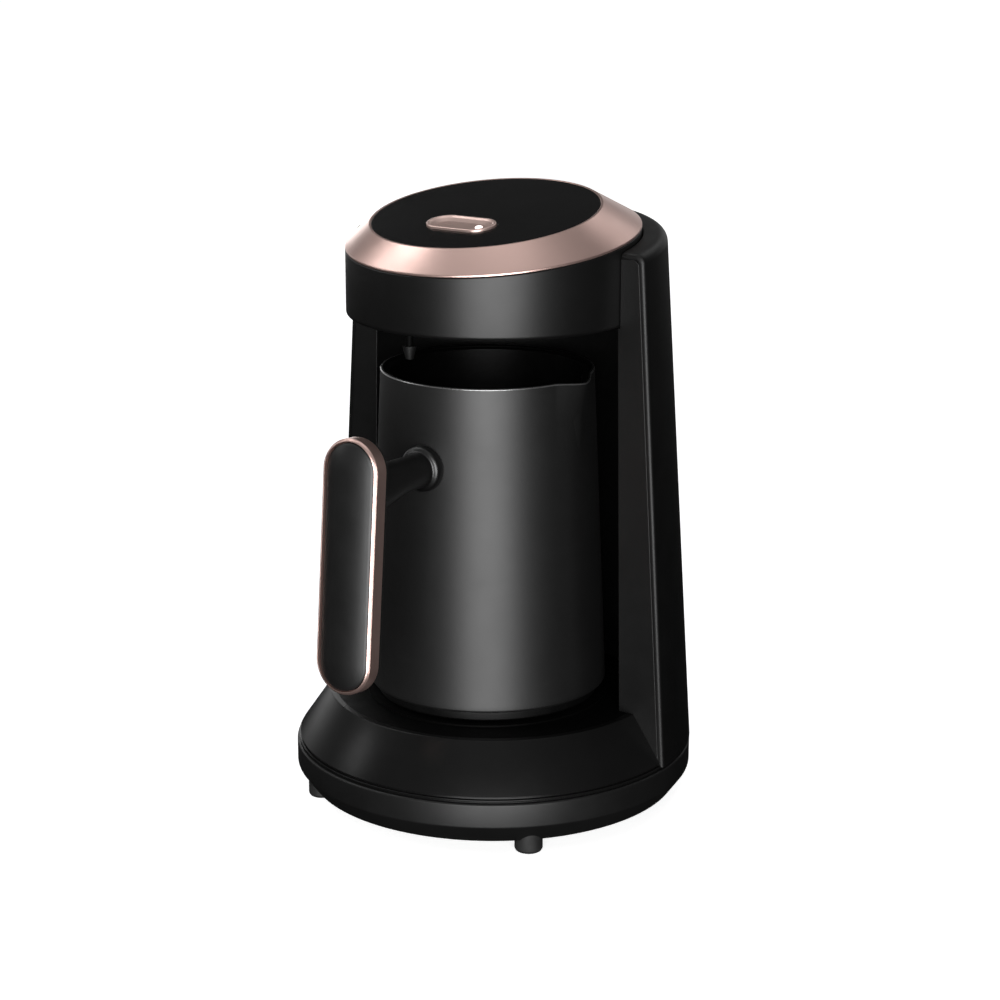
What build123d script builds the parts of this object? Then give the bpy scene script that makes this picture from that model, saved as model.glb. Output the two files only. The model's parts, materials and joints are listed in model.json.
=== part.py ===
from build123d import *
import math
import os

os.makedirs("parts", exist_ok=True)

# ---------------------------------------------------------------- driving dimensions (mm)
# The machine's axis is Z and the front is -Y. The soles of the feet are at z = 2.2 in these numbers.
BASE_R = 82.0            # outer radius of the base rim
BASE_BOTTOM_R = 76.2     # radius at the foot of the base chamfer
BASE_BOTTOM_Z = 7.65     # underside of the base tray
BASE_RIM_LOW_Z = 15.6    # lower edge of the vertical rim
BASE_RIM_TOP_Z = 25.4    # upper edge of the vertical rim
SKIRT_FOOT_R = 80.8      # skirt radius at its lower edge
SKIRT_FOOT_Z = 27.6
FLOOR_R = 67.8           # skirt radius at its upper edge
SKIRT_TOP_Z = 46.5
FLOOR_Z = 47.2           # level that the pot stands on
SOLE_Z = 2.2             # soles of the feet
FOOT_R = 72.6            # pitch radius of the four feet
FOOT_STEM_R = 70.0       # pitch radius of the stems that hold them
FOOT_D = 11.2

HOUSING_R0 = 82.45       # rear housing cone: radius at z = 21, falling with height
HOUSING_SLOPE = 0.06247
WING_Y = 0.0             # front plane of the two wings
COVER_Y = 1.7            # front edge of the cover, which wraps round the wings
WING_INSET = 2.6         # the wings end this far inside the cover's outer face
ROOF_Z = 233.0           # height of the tilted roof plane on the axis
ROOF_FILLET = 4.0
WALL = 2.2

CAVITY_R0 = 61.1         # cavity wall radius at z = 44
CAVITY_SLOPE = 0.01893

HEAD_R = 58.95           # head cylinder
HEAD_Z = 203.45          # underside of the head
HEAD_TILT = 7.52         # tilt of the head's upper edge, down towards the front
HEAD_TOP_Z = 234.7       # height of that edge on the axis
PANEL_TILT = 9.58        # tilt of the control panel
PANEL_Y = -5.4
PANEL_Z = 244.6
PANEL_R = 45.5

BUTTON_L = 30.0          # start button
BUTTON_W = 15.5
BUTTON_V = -17.2         # its place on the panel, from the panel's centre
BUTTON_TRAVEL = 1.2

POT_Y = -4.25            # the pot stands a little forward of the axis
POT_RIM_R = 43.05
POT_RIM_Z = 182.2
POT_FOOT_R = 48.75
POT_FOOT_Z = 51.8
POT_RING_R = 45.4
POT_GAP = 0.3            # running gap between the pot's foot ring and the floor

GRIP_L = 99.0            # handle grip
GRIP_W = 25.5
GRIP_Z = 121.5           # centre height
GRIP_Y = -99.9           # front face at the centre height
GRIP_LEAN = 5.0          # the lower end leans forward
STEM_Z = 149.5           # height of the handle's stem

# The pieces are drawn about the machine's own axis and written out shifted, so that the
# origin of the files lies on the rest surface, under the middle of the whole object, grip included.
PLACE = Location((0, 10.9, -SOLE_Z))

# ---------------------------------------------------------------- helpers on numbers and planes


def housing_r(z):
    return HOUSING_R0 - HOUSING_SLOPE * (z - 21.0)


def cavity_r(z):
    return CAVITY_R0 - CAVITY_SLOPE * (z - 44.0)


def pot_r(z):
    return POT_RIM_R + (POT_FOOT_R - POT_RIM_R) * (POT_RIM_Z - z) / (POT_RIM_Z - POT_FOOT_Z)


def tilted(origin, degrees):
    a = math.radians(degrees)
    return Plane(origin=origin, x_dir=(1, 0, 0), z_dir=(0, -math.sin(a), math.cos(a)))


ROOF = tilted((0, 0, ROOF_Z), HEAD_TILT)
HEAD_TOP = tilted((0, 0, HEAD_TOP_Z), HEAD_TILT)
PANEL = tilted((0, PANEL_Y, PANEL_Z), PANEL_TILT)
SIDE = Plane.XZ                                     # section plane for turned pieces
POT_SIDE = Plane(origin=(0, POT_Y, 0), x_dir=(1, 0, 0), z_dir=(0, -1, 0))
POT_AXIS = Axis((0, POT_Y, 0), (0, 0, 1))
_a = math.radians(GRIP_LEAN)
GRIP = Plane(origin=(0, GRIP_Y, GRIP_Z), x_dir=(1, 0, 0), z_dir=(0, -math.cos(_a), math.sin(_a)))


def radial_plane(angle, z, radius):
    """Plane at an angle from the front, its normal pointing away from the axis."""
    t = math.radians(angle)
    d = (math.sin(t), -math.cos(t), 0)
    return Plane(origin=(radius * d[0], radius * d[1], z), x_dir=(0, 0, 1), z_dir=d)


def polar(angle, radius):
    t = math.radians(angle)
    return (radius * math.sin(t), -radius * math.cos(t))


FEET = [polar(a, FOOT_R) for a in (45, 135, 225, 315)]
FOOT_STEMS = [polar(a, FOOT_STEM_R) for a in (45, 135, 225, 315)]
BASE_SCREWS = [polar(a, 62.0) for a in (22, 338)] + [polar(a, 66.0) for a in (148, 212)]
COVER_SCREWS = [(140, 62.0), (220, 62.0), (140, 190.0), (220, 190.0)]
COLLAR_SCREWS = [125, 180, 235]
HEAD_SCREWS = [polar(a, 51.5) for a in (30, 150, 270)]
POT_SCREWS = [(polar(a, 38.5)[0], polar(a, 38.5)[1] + POT_Y) for a in (30, 150, 270)]

# ---------------------------------------------------------------- base tray
with BuildPart() as base_tray:
    with BuildSketch(SIDE):
        with BuildLine():
            Polyline((0, BASE_BOTTOM_Z), (BASE_BOTTOM_R, BASE_BOTTOM_Z), (BASE_R, BASE_RIM_LOW_Z),
                     (BASE_R, BASE_RIM_TOP_Z), (79.8, BASE_RIM_TOP_Z), (79.8, 17.6),
                     (75.2, 10.8), (0, 10.8), close=True)
        make_face()
    revolve(axis=Axis.Z)
    outer_rim = base_tray.edges().filter_by(GeomType.CIRCLE).filter_by(
        lambda e: abs(e.radius - BASE_R) < 0.01 and e.center().Z > 24)
    fillet(outer_rim, 0.9)
    low_rim = base_tray.edges().filter_by(GeomType.CIRCLE).filter_by(
        lambda e: abs(e.radius - BASE_R) < 0.01 and abs(e.center().Z - BASE_RIM_LOW_Z) < 0.2)
    fillet(low_rim, 1.2)
    # posts under the housing's screw columns
    with BuildSketch(Plane.XY.offset(10.8)):
        with Locations(*BASE_SCREWS):
            Circle(4.5)
    extrude(amount=3.2)
    # standoffs for the power board
    with BuildSketch(Plane.XY.offset(10.8)):
        with Locations((-38, -16), (38, -16), (-38, 34), (38, 34)):
            Circle(3.0)
    extrude(amount=6.2)
    # screw passages with head recesses in the underside
    with BuildSketch(Plane.XY.offset(BASE_BOTTOM_Z)):
        with Locations(*BASE_SCREWS):
            Circle(1.75)
    extrude(amount=8, mode=Mode.SUBTRACT)
    with BuildSketch(Plane.XY.offset(BASE_BOTTOM_Z)):
        with Locations(*BASE_SCREWS):
            Circle(3.4)
    extrude(amount=11.25 - BASE_BOTTOM_Z, mode=Mode.SUBTRACT)
    # pilot holes of the standoffs
    with BuildSketch(Plane.XY.offset(11.5)):
        with Locations((-38, -16), (38, -16), (-38, 34), (38, 34)):
            Circle(1.25)
    extrude(amount=8, mode=Mode.SUBTRACT)
    # holes for the stems of the feet
    with BuildSketch(Plane.XY.offset(BASE_BOTTOM_Z)):
        with Locations(*FOOT_STEMS):
            Circle(2.9)
    extrude(amount=4, mode=Mode.SUBTRACT)
    # ventilation slots in the bottom
    with BuildSketch(Plane.XY.offset(BASE_BOTTOM_Z)):
        with GridLocations(6.0, 1.0, 7, 1):
            SlotOverall(26, 2.4, rotation=90)
    extrude(amount=4, mode=Mode.SUBTRACT)
base_tray.part.label = "base_tray"
export_step(base_tray.part.moved(PLACE), "parts/base_tray.step")

# ---------------------------------------------------------------- rubber feet
with BuildPart() as rubber_feet:
    with BuildSketch(Plane.XY.offset(SOLE_Z)):
        with Locations(*FEET):
            Circle(FOOT_D / 2)
    extrude(amount=8.6)
    ground = rubber_feet.edges().filter_by(lambda e: abs(e.center().Z - SOLE_Z) < 0.01)
    fillet(ground, 1.0)
    # their tops follow the underside and the chamfer of the base tray
    with BuildSketch(SIDE):
        with BuildLine():
            Polyline((0, BASE_BOTTOM_Z), (BASE_BOTTOM_R, BASE_BOTTOM_Z), (BASE_R, BASE_RIM_LOW_Z),
                     (BASE_R + 8, BASE_RIM_LOW_Z), (BASE_R + 8, 30), (0, 30), close=True)
        make_face()
    revolve(axis=Axis.Z, mode=Mode.SUBTRACT)
    with BuildSketch(Plane.XY.offset(BASE_BOTTOM_Z)):
        with Locations(*FOOT_STEMS):
            Circle(2.9)
    extrude(amount=10.8 - BASE_BOTTOM_Z)
    with BuildSketch(Plane.XY.offset(10.8)):
        with Locations(*FOOT_STEMS):
            Circle(3.8)
    extrude(amount=1.6, taper=25)
rubber_feet.part.label = "rubber_feet"
export_step(rubber_feet.part.moved(PLACE), "parts/rubber_feet.step")

# ---------------------------------------------------------------- base screws
with BuildPart() as base_screws:
    with BuildSketch(Plane.XY.offset(9.0)):
        with Locations(*BASE_SCREWS):
            Circle(3.1)
    extrude(amount=2.25)
    with BuildSketch(Plane.XY.offset(11.25)):
        with Locations(*BASE_SCREWS):
            Circle(1.5)
    extrude(amount=14)
    with BuildSketch(Plane.XY.offset(9.0)):
        with Locations(*BASE_SCREWS):
            Rectangle(3.6, 0.8)
            Rectangle(0.8, 3.6)
    extrude(amount=1.2, mode=Mode.SUBTRACT)
base_screws.part.label = "base_screws"
export_step(base_screws.part.moved(PLACE), "parts/base_screws.step")

# ---------------------------------------------------------------- outer form of the rear housing
with BuildPart() as envelope:
    with BuildSketch(SIDE):
        with BuildLine():
            Polyline((0, 26.1), (housing_r(26.1), 26.1), (housing_r(262), 262), (0, 262), close=True)
        make_face()
    revolve(axis=Axis.Z)
    split(bisect_by=ROOF, keep=Keep.BOTTOM)
    split(bisect_by=Plane(origin=(0, COVER_Y, 0), x_dir=(1, 0, 0), z_dir=(0, 1, 0)), keep=Keep.TOP)
    fillet(envelope.edges().filter_by(GeomType.ELLIPSE), ROOF_FILLET)
    cover_edges = envelope.edges().filter_by(
        lambda e: abs(e.center().Y - COVER_Y) < 0.02 and e.center().Z > 30)
    fillet(cover_edges, 0.9)

with BuildPart() as envelope_inner:
    with BuildSketch(SIDE):
        with BuildLine():
            Polyline((0, 20), (housing_r(20) - WALL, 20), (housing_r(262) - WALL, 262), (0, 262), close=True)
        make_face()
    revolve(axis=Axis.Z)
    split(bisect_by=ROOF.offset(-WALL), keep=Keep.BOTTOM)
    fillet(envelope_inner.edges().filter_by(GeomType.ELLIPSE), ROOF_FILLET - WALL)

# ---------------------------------------------------------------- form of the wings, which stand inside the cover
with BuildPart() as wing_form:
    with BuildSketch(SIDE):
        with BuildLine():
            Polyline((0, 26.1), (housing_r(26.1) - WING_INSET, 26.1), (housing_r(262) - WING_INSET, 262), (0, 262),
                     close=True)
        make_face()
    revolve(axis=Axis.Z)
    split(bisect_by=ROOF.offset(-WING_INSET), keep=Keep.BOTTOM)
    split(bisect_by=Plane(origin=(0, WING_Y, 0), x_dir=(1, 0, 0), z_dir=(0, 1, 0)), keep=Keep.TOP)
    fillet(wing_form.edges().filter_by(GeomType.ELLIPSE), ROOF_FILLET - 1.5)
    wing_edges = wing_form.edges().filter_by(
        lambda e: abs(e.center().Y - WING_Y) < 0.02 and e.center().Z > 30)
    fillet(wing_edges, 0.5)
    split(bisect_by=Plane(origin=(0, WING_Y + 2.2, 0), x_dir=(1, 0, 0), z_dir=(0, 1, 0)), keep=Keep.BOTTOM)

# ---------------------------------------------------------------- rear cover
# register rim that drops inside the base tray
with BuildPart() as cover_rim:
    with BuildSketch(SIDE):
        with BuildLine():
            Polyline((77.2, 21.5), (79.6, 21.5), (79.6, 26.6), (81.0, 26.6), (81.0, 28.6), (79.4, 28.6),
                     (77.2, 26.4), close=True)
        make_face()
    revolve(axis=Axis.Z)
    split(bisect_by=Plane(origin=(0, WING_Y + 2.5, 0), x_dir=(1, 0, 0), z_dir=(0, 1, 0)), keep=Keep.TOP)

with BuildPart() as rear_cover:
    add(envelope.part)
    add(envelope_inner.part, mode=Mode.SUBTRACT)
    add(cover_rim.part)
    # the roof stops round the head
    with BuildSketch(Plane.XY.offset(200)):
        Circle(HEAD_R + 0.4)
    extrude(amount=60, mode=Mode.SUBTRACT)
    # ventilation slots, low on the back
    for k in range(-3, 4):
        with BuildSketch(radial_plane(180 + 5.0 * k, 60, 70)):
            SlotOverall(20, 2.0)
        extrude(amount=20, mode=Mode.SUBTRACT)
    # screw passages and head recesses
    for ang, zz in COVER_SCREWS:
        with BuildSketch(radial_plane(ang, zz, 66)):
            Circle(1.7)
        extrude(amount=20, mode=Mode.SUBTRACT)
        with BuildSketch(radial_plane(ang, zz, housing_r(zz) - 1.1)):
            Circle(3.3)
        extrude(amount=6, mode=Mode.SUBTRACT)
    # round hole for the cord bush
    with BuildSketch(Plane(origin=(0, 70, 36), x_dir=(1, 0, 0), z_dir=(0, 1, 0))):
        Circle(5.0)
    extrude(amount=20, mode=Mode.SUBTRACT)
rear_cover.part.label = "rear_cover"
export_step(rear_cover.part.moved(PLACE), "parts/rear_cover.step")

# ---------------------------------------------------------------- front skirt, a half ring in front of the wings
with BuildPart() as front_skirt:
    # sloping face with its stepped lower edge, and the ledge under the floor plate
    with BuildSketch(SIDE):
        with BuildLine():
            Polyline((77.4, 21.5), (79.6, 21.5), (79.6, 25.4), (80.6, 25.4), (80.6, 26.1),
                     (81.3, 26.1), (81.3, 26.9), (80.0, 26.9), (80.0, SKIRT_FOOT_Z),
                     (SKIRT_FOOT_R, SKIRT_FOOT_Z), (FLOOR_R, SKIRT_TOP_Z), (65.2, SKIRT_TOP_Z),
                     (65.2, 44.1), (60.0, 44.1), (60.0, 41.8), (67.9, 41.8), (77.4, 28.4), close=True)
        make_face()
    revolve(axis=Axis.Z)
    split(bisect_by=Plane(origin=(0, WING_Y, 0), x_dir=(1, 0, 0), z_dir=(0, 1, 0)), keep=Keep.BOTTOM)
    # columns for the front base screws
    with BuildSketch(Plane.XY.offset(14.0)):
        with Locations(*BASE_SCREWS[:2]):
            Circle(4.2)
    extrude(amount=29.4)
    with BuildSketch(Plane.XY.offset(14.0)):
        with Locations(*BASE_SCREWS[:2]):
            Circle(1.5)
    extrude(amount=14.0, mode=Mode.SUBTRACT)
front_skirt.part.label = "front_skirt"
export_step(front_skirt.part.moved(PLACE), "parts/front_skirt.step")

# ---------------------------------------------------------------- cavity shell: wings, half-round wall and head collar in one moulding
# front strips of the wings
with BuildPart() as strips:
    add(wing_form.part)
    with BuildSketch(SIDE):
        with BuildLine():
            Polyline((0, 20), (CAVITY_R0, 20), (CAVITY_R0, 44), (cavity_r(HEAD_Z), HEAD_Z),
                     (HEAD_R + 0.35, HEAD_Z), (HEAD_R + 0.35, 262), (0, 262), close=True)
        make_face()
    revolve(axis=Axis.Z, mode=Mode.SUBTRACT)

# cavity wall, a half cone behind the pot, with the collar that holds the head
with BuildPart() as cavity_wall:
    with BuildSketch(SIDE):
        with BuildLine():
            Polyline((57.0, 41.8), (68.0, 41.8), (68.0, 44.1), (cavity_r(44.1) + 2.0, 44.1),
                     (cavity_r(198) + 2.0, 198), (62.0, 203), (62.0, 226), (HEAD_R + 0.35, 226),
                     (HEAD_R + 0.35, HEAD_Z), (cavity_r(HEAD_Z), HEAD_Z), (cavity_r(44.1), 44.1),
                     (57.0, 44.1), close=True)
        make_face()
    revolve(axis=Axis.Z)
    split(bisect_by=Plane(origin=(0, WING_Y + 0.8, 0), x_dir=(1, 0, 0), z_dir=(0, 1, 0)), keep=Keep.TOP)

with BuildPart() as cavity_shell:
    add(strips.part)
    add(cavity_wall.part)
    # columns for the rear base screws
    with BuildSketch(Plane.XY.offset(14.0)):
        with Locations(*BASE_SCREWS[2:]):
            Circle(4.2)
    extrude(amount=29.4)
    with BuildSketch(Plane.XY.offset(14.0)):
        with Locations(*BASE_SCREWS[2:]):
            Circle(1.5)
    extrude(amount=14.0, mode=Mode.SUBTRACT)
    # radial bosses for the rear cover's screws
    for ang, zz in COVER_SCREWS:
        with BuildSketch(radial_plane(ang, zz, cavity_r(zz) + 1.0)):
            Circle(3.8)
        extrude(amount=housing_r(zz) - WALL - 0.35 - cavity_r(zz) - 1.0)
        with BuildSketch(radial_plane(ang, zz, cavity_r(zz) + 2.4)):
            Circle(1.5)
        extrude(amount=20, mode=Mode.SUBTRACT)
    # passages for the head's radial screws
    for ang in COLLAR_SCREWS:
        with BuildSketch(radial_plane(ang, 216, 55)):
            Circle(1.7)
        extrude(amount=12, mode=Mode.SUBTRACT)
    # opening for the wiring in the collar
    with BuildSketch(Plane(origin=(-22, 50, 218), x_dir=(1, 0, 0), z_dir=(0, 1, 0))):
        Rectangle(9, 12)
    extrude(amount=20, mode=Mode.SUBTRACT)
    # opening for the pot's socket
    with BuildSketch(Plane(origin=(0, 50, 60), x_dir=(1, 0, 0), z_dir=(0, 1, 0))):
        Rectangle(28, 17)
    extrude(amount=20, mode=Mode.SUBTRACT)
cavity_shell.part.label = "cavity_shell"
export_step(cavity_shell.part.moved(PLACE), "parts/cavity_shell.step")

# ---------------------------------------------------------------- floor plate under the pot
with BuildPart() as cavity_floor:
    with BuildSketch(Plane.XY.offset(44.1)):
        Circle(65.1)
        with Locations((0, 50 + WING_Y - 0.1)):
            Rectangle(200, 100, mode=Mode.SUBTRACT)
        Circle(60.9)
    extrude(amount=SKIRT_TOP_Z - 44.1)
    # raised round stand for the pot's foot ring
    with BuildSketch(Plane.XY.offset(SKIRT_TOP_Z)):
        with Locations((0, POT_Y)):
            Circle(49.6)
    extrude(amount=FLOOR_Z - SKIRT_TOP_Z)
cavity_floor.part.label = "cavity_floor"
export_step(cavity_floor.part.moved(PLACE), "parts/cavity_floor.step")

# ---------------------------------------------------------------- rear cover screws
with BuildPart() as rear_cover_screws:
    for ang, zz in COVER_SCREWS:
        with BuildSketch(radial_plane(ang, zz, housing_r(zz) - 1.05)):
            Circle(2.9)
        extrude(amount=0.85)
        with BuildSketch(radial_plane(ang, zz, housing_r(zz) - 9.0)):
            Circle(1.45)
        extrude(amount=8.0)
rear_cover_screws.part.label = "rear_cover_screws"
export_step(rear_cover_screws.part.moved(PLACE), "parts/rear_cover_screws.step")

# ---------------------------------------------------------------- cord bush (rubber)
with BuildPart() as cord_bush:
    _yo = math.sqrt(housing_r(36) ** 2)          # outer face of the cover on the centre line
    with BuildSketch(Plane(origin=(0, _yo - 5.6, 36), x_dir=(1, 0, 0), z_dir=(0, 1, 0))):
        Circle(6.6)
    extrude(amount=2.8)
    with BuildSketch(Plane(origin=(0, _yo - 2.8, 36), x_dir=(1, 0, 0), z_dir=(0, 1, 0))):
        Circle(4.95)
    extrude(amount=3.4)
    with BuildSketch(Plane(origin=(0, _yo + 0.6, 36), x_dir=(1, 0, 0), z_dir=(0, 1, 0))):
        Circle(7.0)
    extrude(amount=2.2)
    lip = cord_bush.edges().filter_by(lambda e: abs(e.center().Y - (_yo + 2.8)) < 0.01)
    fillet(lip, 0.9)
    with BuildSketch(Plane(origin=(0, _yo - 8, 36), x_dir=(1, 0, 0), z_dir=(0, 1, 0))):
        Circle(3.3)
    extrude(amount=14, mode=Mode.SUBTRACT)
cord_bush.part.label = "cord_bush"
export_step(cord_bush.part.moved(PLACE), "parts/cord_bush.step")

# ---------------------------------------------------------------- head casing
with BuildPart() as head_casing:
    with BuildSketch(SIDE):
        with BuildLine():
            Polyline((54.0, HEAD_Z), (HEAD_R, HEAD_Z), (HEAD_R, 262), (HEAD_R - WALL, 262),
                     (HEAD_R - WALL, HEAD_Z + 2.2), (54.0, HEAD_Z + 2.2), close=True)
        make_face()
    revolve(axis=Axis.Z)
    under = head_casing.edges().filter_by(GeomType.CIRCLE).filter_by(
        lambda e: abs(e.radius - HEAD_R) < 0.01 and e.center().Z < 205)
    fillet(under, 1.3)
    split(bisect_by=HEAD_TOP, keep=Keep.BOTTOM)
    # columns for the underside's screws
    with BuildSketch(Plane.XY.offset(208.3)):
        with Locations(*HEAD_SCREWS):
            Circle(3.6)
    extrude(amount=11)
    for ang in (30, 150, 270):
        with BuildSketch(radial_plane(ang, 213.8, 53.5)):
            Rectangle(11, 3.0)
        extrude(amount=4.5)
    with BuildSketch(Plane.XY.offset(208.0)):
        with Locations(*HEAD_SCREWS):
            Circle(1.45)
    extrude(amount=9, mode=Mode.SUBTRACT)
    # opening for the wiring at the back
    with BuildSketch(Plane(origin=(-22, 40, 218), x_dir=(1, 0, 0), z_dir=(0, 1, 0))):
        Rectangle(8, 10)
    extrude(amount=30, mode=Mode.SUBTRACT)
    # pilot holes for the collar's screws
    for ang in COLLAR_SCREWS:
        with BuildSketch(radial_plane(ang, 216, 50)):
            Circle(1.45)
        extrude(amount=12, mode=Mode.SUBTRACT)
head_casing.part.label = "head_casing"
export_step(head_casing.part.moved(PLACE), "parts/head_casing.step")

# ---------------------------------------------------------------- underside plate of the head
NOZZLE = (-21.3, -28.0)
with BuildPart() as head_underside:
    with BuildSketch(Plane.XY.offset(HEAD_Z + 2.25)):
        Circle(HEAD_R - WALL - 0.3)
        with Locations(NOZZLE):
            Circle(5.1, mode=Mode.SUBTRACT)
        with Locations(*HEAD_SCREWS):
            Circle(1.7, mode=Mode.SUBTRACT)
    extrude(amount=2.1)
head_underside.part.label = "head_underside"
export_step(head_underside.part.moved(PLACE), "parts/head_underside.step")

with BuildPart() as head_screws:
    with BuildSketch(Plane.XY.offset(HEAD_Z + 0.75)):
        with Locations(*HEAD_SCREWS):
            Circle(2.4)
    extrude(amount=1.45)
    with BuildSketch(Plane.XY.offset(HEAD_Z + 2.2)):
        with Locations(*HEAD_SCREWS):
            Circle(1.4)
    extrude(amount=9.0)
head_screws.part.label = "head_screws"
export_step(head_screws.part.moved(PLACE), "parts/head_screws.step")

with BuildPart() as collar_screws:
    for ang in COLLAR_SCREWS:
        with BuildSketch(radial_plane(ang, 216, 54.5)):
            Circle(1.4)
        extrude(amount=7.7)
        with BuildSketch(radial_plane(ang, 216, 62.2)):
            Circle(2.7)
        extrude(amount=1.6)
collar_screws.part.label = "collar_screws"
export_step(collar_screws.part.moved(PLACE), "parts/collar_screws.step")

# ---------------------------------------------------------------- bezel ring
_c = math.cos(math.radians(HEAD_TILT))
with BuildPart() as bezel_ring:
    with BuildSketch(HEAD_TOP):
        Ellipse(HEAD_R, HEAD_R / _c)
    with BuildSketch(HEAD_TOP.offset(0.8)):
        Ellipse(HEAD_R, HEAD_R / _c)
    loft(ruled=True)
    with BuildSketch(HEAD_TOP.offset(0.8)):
        Ellipse(HEAD_R, HEAD_R / _c)
    with BuildSketch(PANEL):
        Circle(PANEL_R + 0.9)
    loft(ruled=True)
    with BuildSketch(HEAD_TOP.offset(-0.1)):
        Ellipse(HEAD_R - WALL, (HEAD_R - WALL) / _c)
    with BuildSketch(PANEL.offset(-3.6)):
        Circle(PANEL_R - 1.8)
    loft(ruled=True, mode=Mode.SUBTRACT)
    with BuildSketch(PANEL.offset(-4.2)):
        Circle(PANEL_R - 1.8)
    extrude(amount=6, mode=Mode.SUBTRACT)
    with BuildSketch(PANEL.offset(-2.2)):
        Circle(PANEL_R)
    extrude(amount=6, mode=Mode.SUBTRACT)
bezel_ring.part.label = "bezel_ring"
export_step(bezel_ring.part.moved(PLACE), "parts/bezel_ring.step")

# ---------------------------------------------------------------- control panel
with BuildPart() as top_panel:
    with BuildSketch(PANEL.offset(-2.2)):
        Circle(PANEL_R - 0.15)
        with Locations((0, BUTTON_V)):
            SlotOverall(BUTTON_L + 0.7, BUTTON_W + 0.7, mode=Mode.SUBTRACT)
    extrude(amount=2.2)
    # posts that carry the button's guide
    with BuildSketch(PANEL.offset(-10.4)):
        with Locations((-21.5, BUTTON_V), (21.5, BUTTON_V)):
            Circle(3.0)
            Circle(1.2, mode=Mode.SUBTRACT)
    extrude(amount=8.2)
top_panel.part.label = "top_panel"
export_step(top_panel.part.moved(PLACE), "parts/top_panel.step")

# ---------------------------------------------------------------- start button
with BuildPart() as start_button:
    with BuildSketch(PANEL.offset(-3.5)):
        with Locations((0, BUTTON_V)):
            SlotOverall(BUTTON_L, BUTTON_W)
    extrude(amount=4.4)
    brim = start_button.faces().filter_by(
        lambda f: f.normal_at().Z > 0.9).sort_by(Axis.Z)[-1].edges()
    fillet(brim, 0.45)
    # concave thumb recess, and a round dimple at its right end
    with BuildSketch(PANEL.offset(0.95)):
        with Locations((0, BUTTON_V)):
            SlotOverall(BUTTON_L - 2.4, BUTTON_W - 2.4)
    with BuildSketch(PANEL.offset(-0.55)):
        with Locations((0, BUTTON_V)):
            SlotOverall(BUTTON_L - 7.6, BUTTON_W - 7.6)
    loft(ruled=True, mode=Mode.SUBTRACT)
    # flange under the panel, and the stem
    with BuildSketch(PANEL.offset(-3.5)):
        with Locations((0, BUTTON_V)):
            SlotOverall(BUTTON_L + 4.2, BUTTON_W + 4.2)
    extrude(amount=1.15)
    with BuildSketch(PANEL.offset(-9.5)):
        with Locations((0, BUTTON_V)):
            Circle(2.5)
    extrude(amount=6.2)
    # seat of the light pipe
    with BuildSketch(PANEL.offset(-4.0)):
        with Locations((8.2, BUTTON_V)):
            Circle(1.6)
    extrude(amount=6, mode=Mode.SUBTRACT)
start_button.part.label = "start_button"
export_step(start_button.part.moved(PLACE), "parts/start_button.step")

with BuildPart() as button_light_pipe:
    with BuildSketch(PANEL.offset(-4.6)):
        with Locations((8.2, BUTTON_V)):
            Circle(1.6)
    extrude(amount=4.35)
button_light_pipe.part.label = "button_light_pipe"
export_step(button_light_pipe.part.moved(PLACE), "parts/button_light_pipe.step")

# ---------------------------------------------------------------- return spring of the button
_spring_foot = PANEL.from_local_coords((0, BUTTON_V, -9.85))
with BuildPart() as button_spring:
    with BuildLine() as coil:
        Helix(pitch=1.4, height=5.75, radius=5.3, center=tuple(_spring_foot), direction=tuple(PANEL.z_dir))
    with BuildSketch(Plane(origin=coil.line @ 0, z_dir=coil.line % 0)):
        Circle(0.4)
    sweep(path=coil.line, is_frenet=True)
button_spring.part.label = "button_spring"
export_step(button_spring.part.moved(PLACE), "parts/button_spring.step")

# ---------------------------------------------------------------- carrier under the panel: button guide and board legs
LEGS = [(-26.5, -27.5), (26.5, -27.5), (-26.5, 10.0), (26.5, 10.0)]
with BuildPart() as button_carrier:
    with BuildSketch(PANEL.offset(-12.0)):
        with Locations((0, -8.75)):
            RectangleRounded(60, 45, 3)
        with Locations((0, BUTTON_V)):
            Circle(2.57, mode=Mode.SUBTRACT)
        with Locations((8.2, BUTTON_V)):
            Circle(2.0, mode=Mode.SUBTRACT)
        with Locations((-21.5, BUTTON_V), (21.5, BUTTON_V)):
            Circle(1.4, mode=Mode.SUBTRACT)
    extrude(amount=1.6)
    with BuildSketch(PANEL.offset(-10.4)):
        with Locations((0, BUTTON_V)):
            Circle(4.2)
            Circle(2.57, mode=Mode.SUBTRACT)
    extrude(amount=3.6)
    with BuildSketch(PANEL.offset(-16.2)):
        with Locations(*LEGS):
            Circle(3.0)
            Circle(1.15, mode=Mode.SUBTRACT)
    extrude(amount=4.2)
button_carrier.part.label = "button_carrier"
export_step(button_carrier.part.moved(PLACE), "parts/button_carrier.step")

with BuildPart() as carrier_screws:
    with BuildSketch(PANEL.offset(-13.4)):
        with Locations((-21.5, BUTTON_V), (21.5, BUTTON_V)):
            Circle(2.4)
    extrude(amount=1.4)
    with BuildSketch(PANEL.offset(-12.0)):
        with Locations((-21.5, BUTTON_V), (21.5, BUTTON_V)):
            Circle(1.2)
    extrude(amount=7.5)
carrier_screws.part.label = "carrier_screws"
export_step(carrier_screws.part.moved(PLACE), "parts/carrier_screws.step")

# ---------------------------------------------------------------- control board and what it carries
with BuildPart() as control_pcb:
    with BuildSketch(PANEL.offset(-17.8)):
        with Locations((0, -8.75)):
            RectangleRounded(60, 45, 2)
        with Locations(*LEGS):
            Circle(1.3, mode=Mode.SUBTRACT)
    extrude(amount=1.6)
control_pcb.part.label = "control_pcb"
export_step(control_pcb.part.moved(PLACE), "parts/control_pcb.step")

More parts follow.
